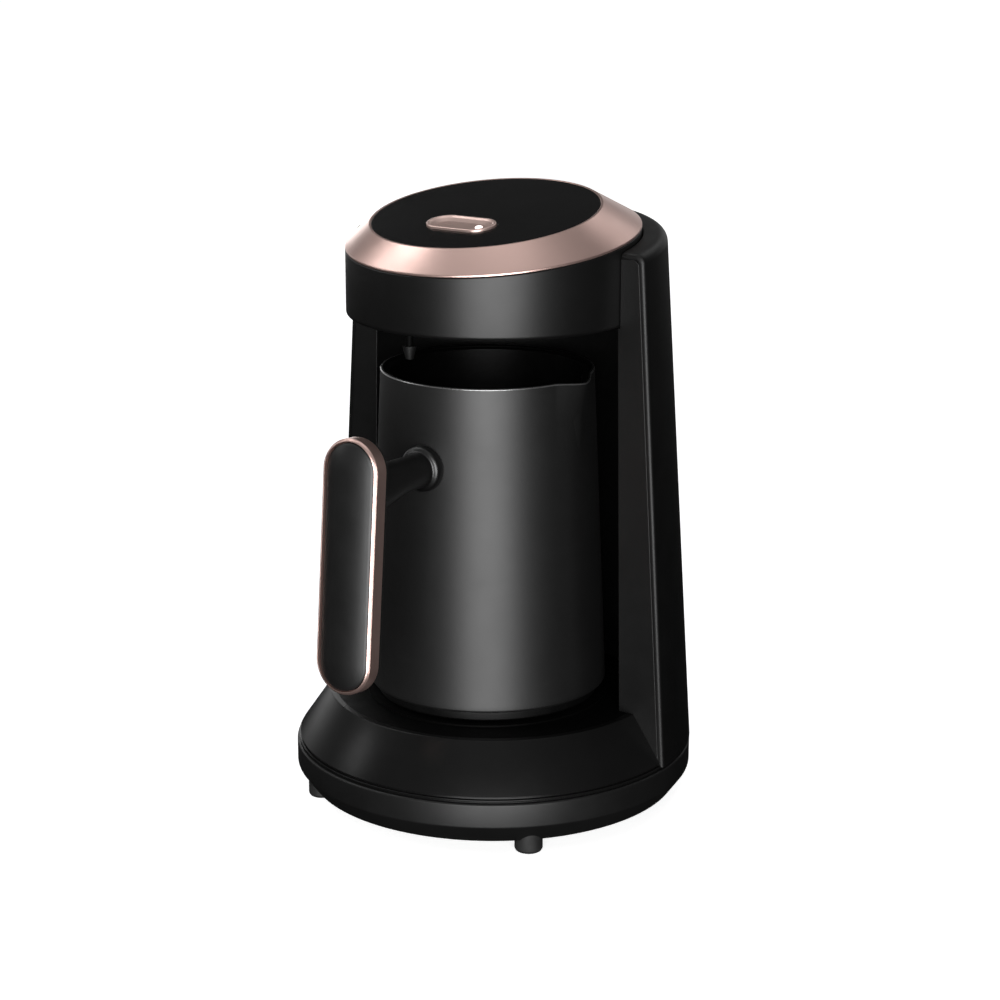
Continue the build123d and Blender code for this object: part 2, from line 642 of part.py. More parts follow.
with BuildPart() as pcb_screws:
    with BuildSketch(PANEL.offset(-19.2)):
        with Locations(*LEGS):
            Circle(2.3)
    extrude(amount=1.4)
    with BuildSketch(PANEL.offset(-17.8)):
        with Locations(*LEGS):
            Circle(1.15)
    extrude(amount=5.0)
pcb_screws.part.label = "pcb_screws"
export_step(pcb_screws.part.moved(PLACE), "parts/pcb_screws.step")

with BuildPart() as tact_switch:
    with BuildSketch(PANEL.offset(-16.2)):
        with Locations((0, BUTTON_V)):
            RectangleRounded(6.2, 6.2, 0.5)
    extrude(amount=3.6)
    with BuildSketch(PANEL.offset(-15.6)):
        with Locations((0, BUTTON_V)):
            Circle(1.77)
    extrude(amount=4, mode=Mode.SUBTRACT)
tact_switch.part.label = "tact_switch"
export_step(tact_switch.part.moved(PLACE), "parts/tact_switch.step")

with BuildPart() as switch_plunger:
    with BuildSketch(PANEL.offset(-14.2)):
        with Locations((0, BUTTON_V)):
            Circle(1.7)
    extrude(amount=4.65)
switch_plunger.part.label = "switch_plunger"
export_step(switch_plunger.part.moved(PLACE), "parts/switch_plunger.step")

with BuildPart() as status_led:
    with BuildSketch(PANEL.offset(-16.2)):
        with Locations((8.2, BUTTON_V)):
            Circle(1.5)
    extrude(amount=4.0)
    led_top = status_led.faces().sort_by(Axis.Z)[-1].edges()
    fillet(led_top, 1.2)
status_led.part.label = "status_led"
export_step(status_led.part.moved(PLACE), "parts/status_led.step")

with BuildPart() as buzzer:
    with BuildSketch(PANEL.offset(-25.8)):
        with Locations((15, 2)):
            Circle(6.0)
    extrude(amount=8.0)
    with BuildSketch(PANEL.offset(-25.8)):
        with Locations((15, 2)):
            Circle(1.0)
    extrude(amount=1.5, mode=Mode.SUBTRACT)
buzzer.part.label = "buzzer"
export_step(buzzer.part.moved(PLACE), "parts/buzzer.step")

with BuildPart() as microcontroller:
    with BuildSketch(PANEL.offset(-19.3)):
        with Locations((-8, -5)):
            Rectangle(10, 10)
    extrude(amount=1.5)
microcontroller.part.label = "microcontroller"
export_step(microcontroller.part.moved(PLACE), "parts/microcontroller.step")

# ---------------------------------------------------------------- foam sensor above the pot
with BuildPart() as sensor_nozzle:
    with BuildSketch(Plane.XY.offset(HEAD_Z + 4.4)):
        with Locations(NOZZLE):
            Circle(6.8)
    extrude(amount=1.5)
    with BuildSketch(Plane.XY.offset(HEAD_Z + 4.4)):
        with Locations(NOZZLE):
            Circle(4.9)
    extrude(amount=-6.0)
    # slim stem with a tapered tip
    with BuildSketch(Plane.XY.offset(HEAD_Z - 1.5)):
        with Locations(NOZZLE):
            Circle(1.5)
    extrude(amount=-(HEAD_Z - 1.5 - 192.0))
    with BuildSketch(Plane.XY.offset(192.2)):
        with Locations(NOZZLE):
            Circle(2.9)
    with BuildSketch(Plane.XY.offset(186.9)):
        with Locations(NOZZLE):
            Circle(1.6)
    loft(ruled=True)
sensor_nozzle.part.label = "sensor_nozzle"
export_step(sensor_nozzle.part.moved(PLACE), "parts/sensor_nozzle.step")

with BuildPart() as foam_sensor:
    with BuildSketch(Plane.XY.offset(HEAD_Z + 5.95)):
        with Locations(NOZZLE):
            Rectangle(16, 14)
    extrude(amount=1.2)
    with BuildSketch(Plane.XY.offset(HEAD_Z + 7.15)):
        with Locations((NOZZLE[0] - 3, NOZZLE[1]), (NOZZLE[0] + 3, NOZZLE[1])):
            Circle(1.9)
    extrude(amount=2.6)
foam_sensor.part.label = "foam_sensor"
export_step(foam_sensor.part.moved(PLACE), "parts/foam_sensor.step")

# ---------------------------------------------------------------- power board in the base
with BuildPart() as power_pcb:
    with BuildSketch(Plane.XY.offset(17.0)):
        with Locations((0, 9)):
            RectangleRounded(84, 58, 2)
        with Locations((-38, -16), (38, -16), (-38, 34), (38, 34)):
            Circle(1.4, mode=Mode.SUBTRACT)
    extrude(amount=1.6)
power_pcb.part.label = "power_pcb"
export_step(power_pcb.part.moved(PLACE), "parts/power_pcb.step")

with BuildPart() as power_pcb_screws:
    with BuildSketch(Plane.XY.offset(12.0)):
        with Locations((-38, -16), (38, -16), (-38, 34), (38, 34)):
            Circle(1.25)
    extrude(amount=6.6)
    with BuildSketch(Plane.XY.offset(18.6)):
        with Locations((-38, -16), (38, -16), (-38, 34), (38, 34)):
            Circle(2.5)
    extrude(amount=1.6)
power_pcb_screws.part.label = "power_pcb_screws"
export_step(power_pcb_screws.part.moved(PLACE), "parts/power_pcb_screws.step")

with BuildPart() as relay:
    with BuildSketch(Plane.XY.offset(18.6)):
        with Locations((-22, 16)):
            Rectangle(19.0, 15.5)
    extrude(amount=15.3)
    fillet(relay.edges().filter_by(Axis.Z), 0.8)
relay.part.label = "relay"
export_step(relay.part.moved(PLACE), "parts/relay.step")

with BuildPart() as transformer:
    with BuildSketch(Plane.XY.offset(18.6)):
        with Locations((20, 14)):
            Rectangle(24, 12)
    extrude(amount=19)
    with BuildSketch(Plane.XY.offset(20.4)):
        with Locations((20, 14)):
            RectangleRounded(17, 20, 3)
    extrude(amount=15.4)
transformer.part.label = "transformer"
export_step(transformer.part.moved(PLACE), "parts/transformer.step")

with BuildPart() as capacitor:
    with BuildSketch(Plane.XY.offset(18.6)):
        with Locations((-24, -8)):
            Circle(5.0)
    extrude(amount=16)
    fillet(capacitor.faces().sort_by(Axis.Z)[-1].edges(), 0.7)
capacitor.part.label = "capacitor"
export_step(capacitor.part.moved(PLACE), "parts/capacitor.step")

with BuildPart() as terminal_block:
    with BuildSketch(Plane.XY.offset(18.6)):
        with Locations((0, 31.5)):
            Rectangle(20, 10)
    extrude(amount=11)
    for k in (-1, 0, 1):
        with BuildSketch(Plane(origin=(6.2 * k, 31.0, 22.6), x_dir=(1, 0, 0), z_dir=(0, 1, 0))):
            Circle(1.6)
        extrude(amount=8, mode=Mode.SUBTRACT)
        with BuildSketch(Plane.XY.offset(26.2)):
            with Locations((6.2 * k, 31.5)):
                Circle(1.9)
        extrude(amount=6, mode=Mode.SUBTRACT)
terminal_block.part.label = "terminal_block"
export_step(terminal_block.part.moved(PLACE), "parts/terminal_block.step")

# ---------------------------------------------------------------- socket for the pot, in the back of the cavity
PINS_X = (-6.0, 0.0, 6.0)
CONN_Z = 60.0
with BuildPart() as pot_socket:
    with BuildSketch(Plane(origin=(0, 52.5, CONN_Z), x_dir=(1, 0, 0), z_dir=(0, 1, 0))):
        RectangleRounded(27.8, 16.8, 2)
    extrude(amount=12.5)
    with BuildSketch(Plane(origin=(0, 45.6, CONN_Z), x_dir=(1, 0, 0), z_dir=(0, 1, 0))):
        RectangleRounded(19.0, 8.0, 1.5)
    extrude(amount=7.0)
    with BuildSketch(Plane(origin=(0, 45.0, CONN_Z), x_dir=(1, 0, 0), z_dir=(0, 1, 0))):
        with Locations(*[(x, 0) for x in PINS_X]):
            Circle(1.6)
    extrude(amount=5.5, mode=Mode.SUBTRACT)
    with BuildSketch(Plane(origin=(0, 50.4, CONN_Z), x_dir=(1, 0, 0), z_dir=(0, 1, 0))):
        with Locations(*[(x, 0) for x in PINS_X]):
            Circle(2.1)
    extrude(amount=20, mode=Mode.SUBTRACT)
pot_socket.part.label = "pot_socket"
export_step(pot_socket.part.moved(PLACE), "parts/pot_socket.step")

with BuildPart() as socket_contacts:
    with BuildSketch(Plane(origin=(0, 50.5, CONN_Z), x_dir=(1, 0, 0), z_dir=(0, 1, 0))):
        with Locations(*[(x, 0) for x in PINS_X]):
            Circle(2.1)
    extrude(amount=12.0)
    with BuildSketch(Plane(origin=(0, 50.0, CONN_Z), x_dir=(1, 0, 0), z_dir=(0, 1, 0))):
        with Locations(*[(x, 0) for x in PINS_X]):
            Circle(1.28)
    extrude(amount=6.0, mode=Mode.SUBTRACT)
    with BuildSketch(Plane(origin=(0, 62.5, CONN_Z), x_dir=(1, 0, 0), z_dir=(0, 1, 0))):
        with Locations(*[(x, 0) for x in PINS_X]):
            Rectangle(2.4, 0.8)
    extrude(amount=6.0)
socket_contacts.part.label = "socket_contacts"
export_step(socket_contacts.part.moved(PLACE), "parts/socket_contacts.step")

# ---------------------------------------------------------------- wiring inside the housing
with BuildPart() as power_plug:
    with BuildSketch(Plane.XY.offset(18.6)):
        with Locations((-22, 33.5)):
            Rectangle(10, 6)
    extrude(amount=7.0)
power_plug.part.label = "power_plug"
export_step(power_plug.part.moved(PLACE), "parts/power_plug.step")

with BuildPart() as head_plug:
    with BuildSketch(PANEL.offset(-24.0)):
        with Locations((-18, 6)):
            Rectangle(10, 6)
    extrude(amount=6.2)
head_plug.part.label = "head_plug"
export_step(head_plug.part.moved(PLACE), "parts/head_plug.step")

with BuildPart() as wiring_harness:
    with BuildLine() as run:
        FilletPolyline((-22, 36.8, 22), (-22, 71.0, 24), (-22, 67.0, 110), (-22, 61.8, 218), (-21, 20, 219),
                       (-18, 8.0, 224.8), radius=(9, 30, 6, 6))
    with BuildSketch(Plane(origin=run.line @ 0, z_dir=run.line % 0)):
        Circle(1.6)
    sweep(path=run.line)
wiring_harness.part.label = "wiring_harness"
export_step(wiring_harness.part.moved(PLACE), "parts/wiring_harness.step")

LEADS = [(-6.0, -11.0, -6.2), (0.0, 8.6, 0.0), (6.0, 13.0, 6.2)]
with BuildPart() as pot_leads:
    for x0, x1, x2 in LEADS:
        with BuildLine() as lead:
            FilletPolyline((x0, 68.7, CONN_Z), (x0, 73.0, CONN_Z), (x1, 73.0, 46), (x1, 73.0, 32), (x2, 58.0, 22.6),
                           (x2, 34.0, 22.6), radius=(3.0, 5, 6, 8))
        with BuildSketch(Plane(origin=lead.line @ 0, z_dir=lead.line % 0)):
            Circle(1.1)
        sweep(path=lead.line)
pot_leads.part.label = "pot_leads"
export_step(pot_leads.part.moved(PLACE), "parts/pot_leads.step")

with BuildPart() as sensor_lead:
    with BuildLine() as sense:
        FilletPolyline((NOZZLE[0] + 5.5, NOZZLE[1], HEAD_Z + 8.6), (NOZZLE[0] + 11, NOZZLE[1], HEAD_Z + 8.6),
                       (NOZZLE[0] + 11, NOZZLE[1] + 4, HEAD_Z + 17.6), radius=(3.0,))
    with BuildSketch(Plane(origin=sense.line @ 0, z_dir=sense.line % 0)):
        Circle(0.9)
    sweep(path=sense.line)
sensor_lead.part.label = "sensor_lead"
export_step(sensor_lead.part.moved(PLACE), "parts/sensor_lead.step")

# ================================================================ the pot
with BuildPart() as pot_body:
    with BuildSketch(POT_SIDE):
        with BuildLine():
            Polyline((37.0, POT_FOOT_Z), (POT_FOOT_R, POT_FOOT_Z), (POT_RIM_R, POT_RIM_Z),
                     (POT_RIM_R - 2.0, POT_RIM_Z), (pot_r(54) - 2.2, 54.0), (37.0, 54.0), close=True)
        make_face()
    revolve(axis=POT_AXIS)
    foot_edge = pot_body.edges().filter_by(GeomType.CIRCLE).filter_by(
        lambda e: abs(e.radius - POT_FOOT_R) < 0.01)
    fillet(foot_edge, 1.0)
    # pouring lip on the right-hand side
    with BuildSketch(Plane.XY.offset(POT_RIM_Z)):
        with BuildLine():
            Polyline((38.5, POT_Y - 14), (38.5, POT_Y + 14), (46.4, POT_Y + 2.8), (47.2, POT_Y),
                     (46.4, POT_Y - 2.8), close=True)
        make_face()
    with BuildSketch(Plane.XY.offset(POT_RIM_Z - 16)):
        with BuildLine():
            Polyline((38.5, POT_Y - 3), (38.5, POT_Y + 3), (43.2, POT_Y + 0.6), (43.4, POT_Y),
                     (43.2, POT_Y - 0.6), close=True)
        make_face()
    loft(ruled=True)
    # the inside of the vessel stays clear
    with BuildSketch(POT_SIDE):
        with BuildLine():
            Polyline((0, 54.0), (pot_r(54) - 2.2, 54.0), (POT_RIM_R - 2.0, POT_RIM_Z), (POT_RIM_R - 2.0, 190),
                     (0, 190), close=True)
        make_face()
    revolve(axis=POT_AXIS, mode=Mode.SUBTRACT)
    # channel of the lip
    with BuildSketch(Plane.XY.offset(POT_RIM_Z + 0.1)):
        with BuildLine():
            Polyline((36.0, POT_Y - 13.0), (36.0, POT_Y + 13.0), (44.8, POT_Y + 1.3), (45.2, POT_Y),
                     (44.8, POT_Y - 1.3), close=True)
        make_face()
    with BuildSketch(Plane.XY.offset(POT_RIM_Z - 13)):
        with BuildLine():
            Polyline((36.0, POT_Y - 2.6), (36.0, POT_Y + 2.6), (40.9, POT_Y + 0.4), (41.1, POT_Y),
                     (40.9, POT_Y - 0.4), close=True)
        make_face()
    loft(ruled=True, mode=Mode.SUBTRACT)
    # screw columns for the bottom cap
    with BuildSketch(Plane.XY.offset(49.6)):
        with Locations(*POT_SCREWS):
            Circle(3.6)
    extrude(amount=9.0)
    with BuildSketch(Plane.XY.offset(49.0)):
        with Locations(*POT_SCREWS):
            Circle(1.45)
    extrude(amount=7.6, mode=Mode.SUBTRACT)
    # window for the inlet at the back
    with BuildSketch(Plane(origin=(0, 36, CONN_Z), x_dir=(1, 0, 0), z_dir=(0, 1, 0))):
        Rectangle(24, 12.4)
    extrude(amount=20, mode=Mode.SUBTRACT)
    # hole for the handle's bolt
    with BuildSketch(Plane(origin=(0, -30, STEM_Z), x_dir=(1, 0, 0), z_dir=(0, -1, 0))):
        Circle(2.1)
    extrude(amount=30, mode=Mode.SUBTRACT)
pot_body.part.label = "pot_body"
export_step(pot_body.part.moved(PLACE), "parts/pot_body.step")

# inner vessel
with BuildPart() as pot_liner:
    with BuildSketch(POT_SIDE):
        with BuildLine():
            Polyline((0, 70.0), (41.5, 70.0), (39.8, 180.8), (POT_RIM_R - 2.15, 180.8), (POT_RIM_R - 2.15, 181.6),
                     (39.0, 181.6), (40.7, 70.8), (0, 70.8), close=True)
        make_face()
    revolve(axis=POT_AXIS)
    knuckle = pot_liner.edges().filter_by(GeomType.CIRCLE).filter_by(
        lambda e: e.center().Z < 72 and e.radius > 40)
    fillet(knuckle.sort_by(SortBy.RADIUS)[0], 6.0)
    knuckle2 = pot_liner.edges().filter_by(GeomType.CIRCLE).filter_by(
        lambda e: e.center().Z < 70.2 and e.radius > 41)
    fillet(knuckle2, 6.8)
    with BuildSketch(Plane.XY.offset(POT_RIM_Z + 0.1)):
        with BuildLine():
            Polyline((34.0, POT_Y - 13.0), (34.0, POT_Y + 13.0), (44.8, POT_Y + 1.3), (45.2, POT_Y),
                     (44.8, POT_Y - 1.3), close=True)
        make_face()
    with BuildSketch(Plane.XY.offset(POT_RIM_Z - 13)):
        with BuildLine():
            Polyline((34.0, POT_Y - 2.6), (34.0, POT_Y + 2.6), (40.9, POT_Y + 0.4), (41.1, POT_Y),
                     (40.9, POT_Y - 0.4), close=True)
        make_face()
    loft(ruled=True, mode=Mode.SUBTRACT)
pot_liner.part.label = "pot_liner"
export_step(pot_liner.part.moved(PLACE), "parts/pot_liner.step")

# heater under the vessel
with BuildPart() as heating_plate:
    with BuildSketch(Plane.XY.offset(66.9)):
        with Locations((0, POT_Y)):
            Circle(33.0)
    extrude(amount=3.05)
    fillet(heating_plate.edges().filter_by(lambda e: e.center().Z < 67), 0.8)
heating_plate.part.label = "heating_plate"
export_step(heating_plate.part.moved(PLACE), "parts/heating_plate.step")

_e = math.radians(111)
with BuildPart() as heating_element:
    with BuildSketch(Plane(origin=(0, POT_Y, 0), x_dir=(math.cos(_e), math.sin(_e), 0),
                           z_dir=(math.sin(_e), -math.cos(_e), 0))):
        with Locations((26.0, 63.6)):
            Circle(3.2)
    revolve(axis=POT_AXIS, revolution_arc=318)
heating_element.part.label = "heating_element"
export_step(heating_element.part.moved(PLACE), "parts/heating_element.step")

with BuildPart() as thermostat:
    with BuildSketch(Plane.XY.offset(58.8)):
        with Locations((0, POT_Y)):
            Circle(8.0)
    extrude(amount=6.6)
    with BuildSketch(Plane.XY.offset(65.4)):
        with Locations((0, POT_Y)):
            Circle(6.2)
    extrude(amount=1.45)
    with BuildSketch(Plane.XY.offset(54.4)):
        with Locations((-4.6, POT_Y), (4.6, POT_Y)):
            Rectangle(0.8, 4.8)
    extrude(amount=4.6)
thermostat.part.label = "thermostat"
export_step(thermostat.part.moved(PLACE), "parts/thermostat.step")

with BuildPart() as thermal_fuse:
    with BuildSketch(Plane(origin=(14.6, POT_Y - 7, 64.8), x_dir=(1, 0, 0), z_dir=(0, 1, 0))):
        Circle(2.0)
    extrude(amount=14)
thermal_fuse.part.label = "thermal_fuse"
export_step(thermal_fuse.part.moved(PLACE), "parts/thermal_fuse.step")

# bottom cap, its seal and screws
with BuildPart() as pot_base_cap:
    with BuildSketch(POT_SIDE):
        with BuildLine():
            Polyline((0, FLOOR_Z + POT_GAP), (POT_RING_R, FLOOR_Z + POT_GAP), (POT_RING_R, 50.9), (43.2, 50.9),
                     (43.2, 49.5), (0, 49.5), close=True)
        make_face()
    revolve(axis=POT_AXIS)
    ring_edge = pot_base_cap.edges().filter_by(GeomType.CIRCLE).filter_by(
        lambda e: abs(e.radius - POT_RING_R) < 0.01 and e.center().Z < 48)
    fillet(ring_edge, 0.7)
    with BuildSketch(Plane.XY.offset(47.0)):
        with Locations(*POT_SCREWS):
            Circle(1.7)
    extrude(amount=4, mode=Mode.SUBTRACT)
    with BuildSketch(Plane.XY.offset(47.0)):
        with Locations(*POT_SCREWS):
            Circle(3.0)
    extrude(amount=1.6, mode=Mode.SUBTRACT)
pot_base_cap.part.label = "pot_base_cap"
export_step(pot_base_cap.part.moved(PLACE), "parts/pot_base_cap.step")

with BuildPart() as pot_seal:
    with BuildSketch(POT_SIDE):
        with BuildLine():
            Polyline((43.3, 50.9), (45.3, 50.9), (45.3, POT_FOOT_Z), (43.3, POT_FOOT_Z), close=True)
        make_face()
    revolve(axis=POT_AXIS)
pot_seal.part.label = "pot_seal"
export_step(pot_seal.part.moved(PLACE), "parts/pot_seal.step")

with BuildPart() as pot_base_screws:
    with BuildSketch(Plane.XY.offset(47.6)):
        with Locations(*POT_SCREWS):
            Circle(2.7)
    extrude(amount=1.0)
    with BuildSketch(Plane.XY.offset(48.6)):
        with Locations(*POT_SCREWS):
            Circle(1.4)
    extrude(amount=7.4)
pot_base_screws.part.label = "pot_base_screws"
export_step(pot_base_screws.part.moved(PLACE), "parts/pot_base_screws.step")

# inlet that plugs into the socket as the pot is pushed home
with BuildPart() as pot_inlet:
    with BuildSketch(Plane(origin=(0, 38.5, CONN_Z), x_dir=(1, 0, 0), z_dir=(0, 1, 0))):
        Rectangle(23.8, 12.2)
    extrude(amount=11.5)
    fillet(pot_inlet.edges().filter_by(Axis.Y), 1.2)
    with BuildSketch(Plane(origin=(0, 44.6, CONN_Z), x_dir=(1, 0, 0), z_dir=(0, 1, 0))):
        RectangleRounded(20.2, 9.2, 1.4)
    extrude(amount=8, mode=Mode.SUBTRACT)
    with BuildSketch(Plane(origin=(0, 36.0, CONN_Z), x_dir=(1, 0, 0), z_dir=(0, 1, 0))):
        with Locations(*[(x, 0) for x in PINS_X]):
            Circle(1.2)
    extrude(amount=12, mode=Mode.SUBTRACT)
pot_inlet.part.label = "pot_inlet"
export_step(pot_inlet.part.moved(PLACE), "parts/pot_inlet.step")

with BuildPart() as inlet_pins:
    with BuildSketch(Plane(origin=(0, 35.5, CONN_Z), x_dir=(1, 0, 0), z_dir=(0, 1, 0))):
        with Locations(*[(x, 0) for x in PINS_X]):
            Circle(1.2)
    extrude(amount=19.0)
    tips = inlet_pins.edges().filter_by(lambda e: e.center().Y > 54)
    fillet(tips, 0.7)
inlet_pins.part.label = "inlet_pins"
export_step(inlet_pins.part.moved(PLACE), "parts/inlet_pins.step")

# ---------------------------------------------------------------- handle
with BuildPart() as handle_stem:
    with BuildSketch(Plane(origin=(0, -44, STEM_Z), x_dir=(1, 0, 0), z_dir=(0, -1, 0))):
        Circle(9.2)
    extrude(amount=8.6)
    knob = handle_stem.edges().filter_by(GeomType.CIRCLE).filter_by(lambda e: e.center().Y < -52)
    fillet(knob, 2.8)
    _stations = [(-50.0, 149.5, 6.9, 6.9), (-61.0, 149.4, 7.0, 6.8), (-71.0, 148.9, 7.9, 6.9),
                 (-80.0, 148.0, 9.6, 7.3), (-88.6, 147.2, 12.2, 8.0)]
    for _y, _z, _rz, _rx in _stations:
        with BuildSketch(Plane(origin=(0, _y, _z), x_dir=(1, 0, 0), z_dir=(0, -1, 0))):
            Ellipse(_rx, _rz)
    loft()
    # seat on the pot's wall
    with BuildSketch(POT_SIDE):
        with BuildLine():
            Polyline((0, 60), (pot_r(60), 60), (pot_r(181), 181), (0, 181), close=True)
        make_face()
    revolve(axis=POT_AXIS, mode=Mode.SUBTRACT)
    # the grip's back closes the far end
    with BuildSketch(GRIP.offset(-10.6)):
        Rectangle(60, 140)
    extrude(amount=40, mode=Mode.SUBTRACT)
    with BuildSketch(Plane(origin=(0, -40, STEM_Z), x_dir=(1, 0, 0), z_dir=(0, -1, 0))):
        Circle(1.95)
    extrude(amount=26, mode=Mode.SUBTRACT)
handle_stem.part.label = "handle_stem"
export_step(handle_stem.part.moved(PLACE), "parts/handle_stem.step")

with BuildPart() as handle_bolt:
    _wall = POT_Y - pot_r(STEM_Z) + 2.2            # inner face of the pot's wall at the front
    with BuildSketch(Plane(origin=(0, _wall + 1.1, STEM_Z), x_dir=(1, 0, 0), z_dir=(0, -1, 0))):
        Circle(3.6)
    extrude(amount=0.85)
    with BuildSketch(Plane(origin=(0, _wall + 0.6, STEM_Z), x_dir=(1, 0, 0), z_dir=(0, -1, 0))):
        Circle(1.95)
    extrude(amount=19)
handle_bolt.part.label = "handle_bolt"
export_step(handle_bolt.part.moved(PLACE), "parts/handle_bolt.step")

with BuildPart() as handle_core:
    with BuildSketch(GRIP.offset(-10.6)):
        SlotOverall(GRIP_L - 1.6, GRIP_W - 1.6, rotation=90)
    extrude(amount=3.8)
    back = handle_core.faces().filter_by(lambda f: f.normal_at().Y > 0.9).edges()
    fillet(back, 2.4)
    with BuildSketch(GRIP.offset(-10.8)):
        with Locations((0, -38), (0, -5)):
            Circle(1.5)
    extrude(amount=6, mode=Mode.SUBTRACT)
    with BuildSketch(GRIP.offset(-10.8)):
        with Locations((0, -38), (0, -5)):
            Circle(2.9)
    extrude(amount=1.8, mode=Mode.SUBTRACT)
handle_core.part.label = "handle_core"
export_step(handle_core.part.moved(PLACE), "parts/handle_core.step")

with BuildPart() as handle_trim:
    with BuildSketch(GRIP.offset(-6.8)):
        SlotOverall(GRIP_L, GRIP_W, rotation=90)
    extrude(amount=6.8)
    fillet(handle_trim.faces().filter_by(lambda f: abs(f.normal_at().Y) > 0.9).sort_by(Axis.Y)[0].edges(), 1.0)
    with BuildSketch(GRIP.offset(-2.6)):
        SlotOverall(GRIP_L - 2.2, GRIP_W - 2.2, rotation=90)
    extrude(amount=4, mode=Mode.SUBTRACT)
    with BuildSketch(GRIP.offset(-7)):
        with Locations((0, -38), (0, -5)):
            Circle(1.25)
    extrude(amount=4.0, mode=Mode.SUBTRACT)
handle_trim.part.label = "handle_trim"
export_step(handle_trim.part.moved(PLACE), "parts/handle_trim.step")

with BuildPart() as handle_inlay:
    with BuildSketch(GRIP.offset(-2.6)):
        SlotOverall(GRIP_L - 3.0, GRIP_W - 3.0, rotation=90)
    extrude(amount=5.0)
    # front crowned across its width
    with BuildSketch(Plane(origin=GRIP.from_local_coords((0, -60, 0)), x_dir=(1, 0, 0), z_dir=GRIP.y_dir)):
        with Locations((0, 30.0 - 1.9)):
            Circle(30.0)
    extrude(amount=120, mode=Mode.INTERSECT)
    # and rounded down at both ends
    with BuildSketch(Plane(origin=GRIP.from_local_coords((-20, 0, 0)), x_dir=GRIP.y_dir, z_dir=(1, 0, 0))):
        with BuildLine():
            Line((-49, 8), (-49, 0.4))
            ThreePointArc((-49, 0.4), (-43.5, -1.3), (-35.0, -2.0))
            Line((-35.0, -2.0), (35.0, -2.0))
            ThreePointArc((35.0, -2.0), (43.5, -1.3), (49, 0.4))
            Line((49, 0.4), (49, 8))
            Line((49, 8), (-49, 8))
        make_face()
    extrude(amount=40, mode=Mode.INTERSECT)
handle_inlay.part.label = "handle_inlay"
export_step(handle_inlay.part.moved(PLACE), "parts/handle_inlay.step")

with BuildPart() as grip_screws:
    with BuildSketch(GRIP.offset(-10.4)):
        with Locations((0, -38), (0, -5)):
            Circle(2.6)
    extrude(amount=1.4)
    with BuildSketch(GRIP.offset(-9.0)):
        with Locations((0, -38), (0, -5)):
            Circle(1.25)
    extrude(amount=5.6)
grip_screws.part.label = "grip_screws"
export_step(grip_screws.part.moved(PLACE), "parts/grip_screws.step")
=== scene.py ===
import json
import math

import bmesh
import bpy
from mathutils import Matrix, Vector


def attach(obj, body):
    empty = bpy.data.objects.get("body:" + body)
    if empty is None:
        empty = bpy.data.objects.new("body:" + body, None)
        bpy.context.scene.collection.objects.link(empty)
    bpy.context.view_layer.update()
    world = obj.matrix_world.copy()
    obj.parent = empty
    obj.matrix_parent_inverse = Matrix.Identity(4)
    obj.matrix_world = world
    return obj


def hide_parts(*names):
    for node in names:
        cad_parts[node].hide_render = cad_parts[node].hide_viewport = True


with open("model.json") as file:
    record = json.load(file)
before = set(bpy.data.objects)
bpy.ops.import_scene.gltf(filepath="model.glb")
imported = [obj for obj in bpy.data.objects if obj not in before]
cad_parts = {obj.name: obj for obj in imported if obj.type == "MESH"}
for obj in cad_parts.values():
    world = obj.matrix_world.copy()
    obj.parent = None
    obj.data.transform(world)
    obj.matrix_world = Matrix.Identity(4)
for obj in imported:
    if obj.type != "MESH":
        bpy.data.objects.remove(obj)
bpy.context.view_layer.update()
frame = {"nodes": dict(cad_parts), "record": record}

MM = 0.001
AY = 10.9                      # the machine's own axis, in mm along Y in this frame
AZ = -2.2                      # the numbers below count heights from 2.2 mm under the soles
POT_Y = -4.25                  # the pot's axis, from the machine's axis
TAN_H = math.tan(math.radians(7.52))


# ------------------------------------------------------------------ geometry helpers (mm, about the machine's axis)
def to_world(p):
    return Vector((p[0] * MM, (p[1] + AY) * MM, (p[2] + AZ) * MM))


def rounded(points, closed=True, k=5):
    """points: (x, y, z, radius). Corners with a radius become arcs of k + 1 points."""
    n = len(points)
    out = []
    for i, q in enumerate(points):
        p, rad = Vector(q[:3]), q[3] if len(q) > 3 else 0.0
        if rad <= 0 or (not closed and i in (0, n - 1)):
            out.append(p)
            continue
        a, b = Vector(points[i - 1][:3]) - p, Vector(points[(i + 1) % n][:3]) - p
        la, lb = a.length, b.length
        if la < 1e-7 or lb < 1e-7:
            out.extend([p] * (k + 1))
            continue
        a /= la
        b /= lb
        ang = a.angle(b)
        if ang > math.radians(179.2):
            out.extend([p] * (k + 1))
            continue
        t = min(rad / math.tan(ang / 2), 0.49 * la, 0.49 * lb)
        r = t * math.tan(ang / 2)
        bis = (a + b).normalized()
        c = p + bis * (r / math.sin(ang / 2))
        s, e = p + a * t - c, p + b * t - c
        total = s.angle(e)
        for j in range(k + 1):
            f = j / k
            out.append(c + (s * math.sin((1 - f) * total) + e * math.sin(f * total)) / math.sin(total))
    return out


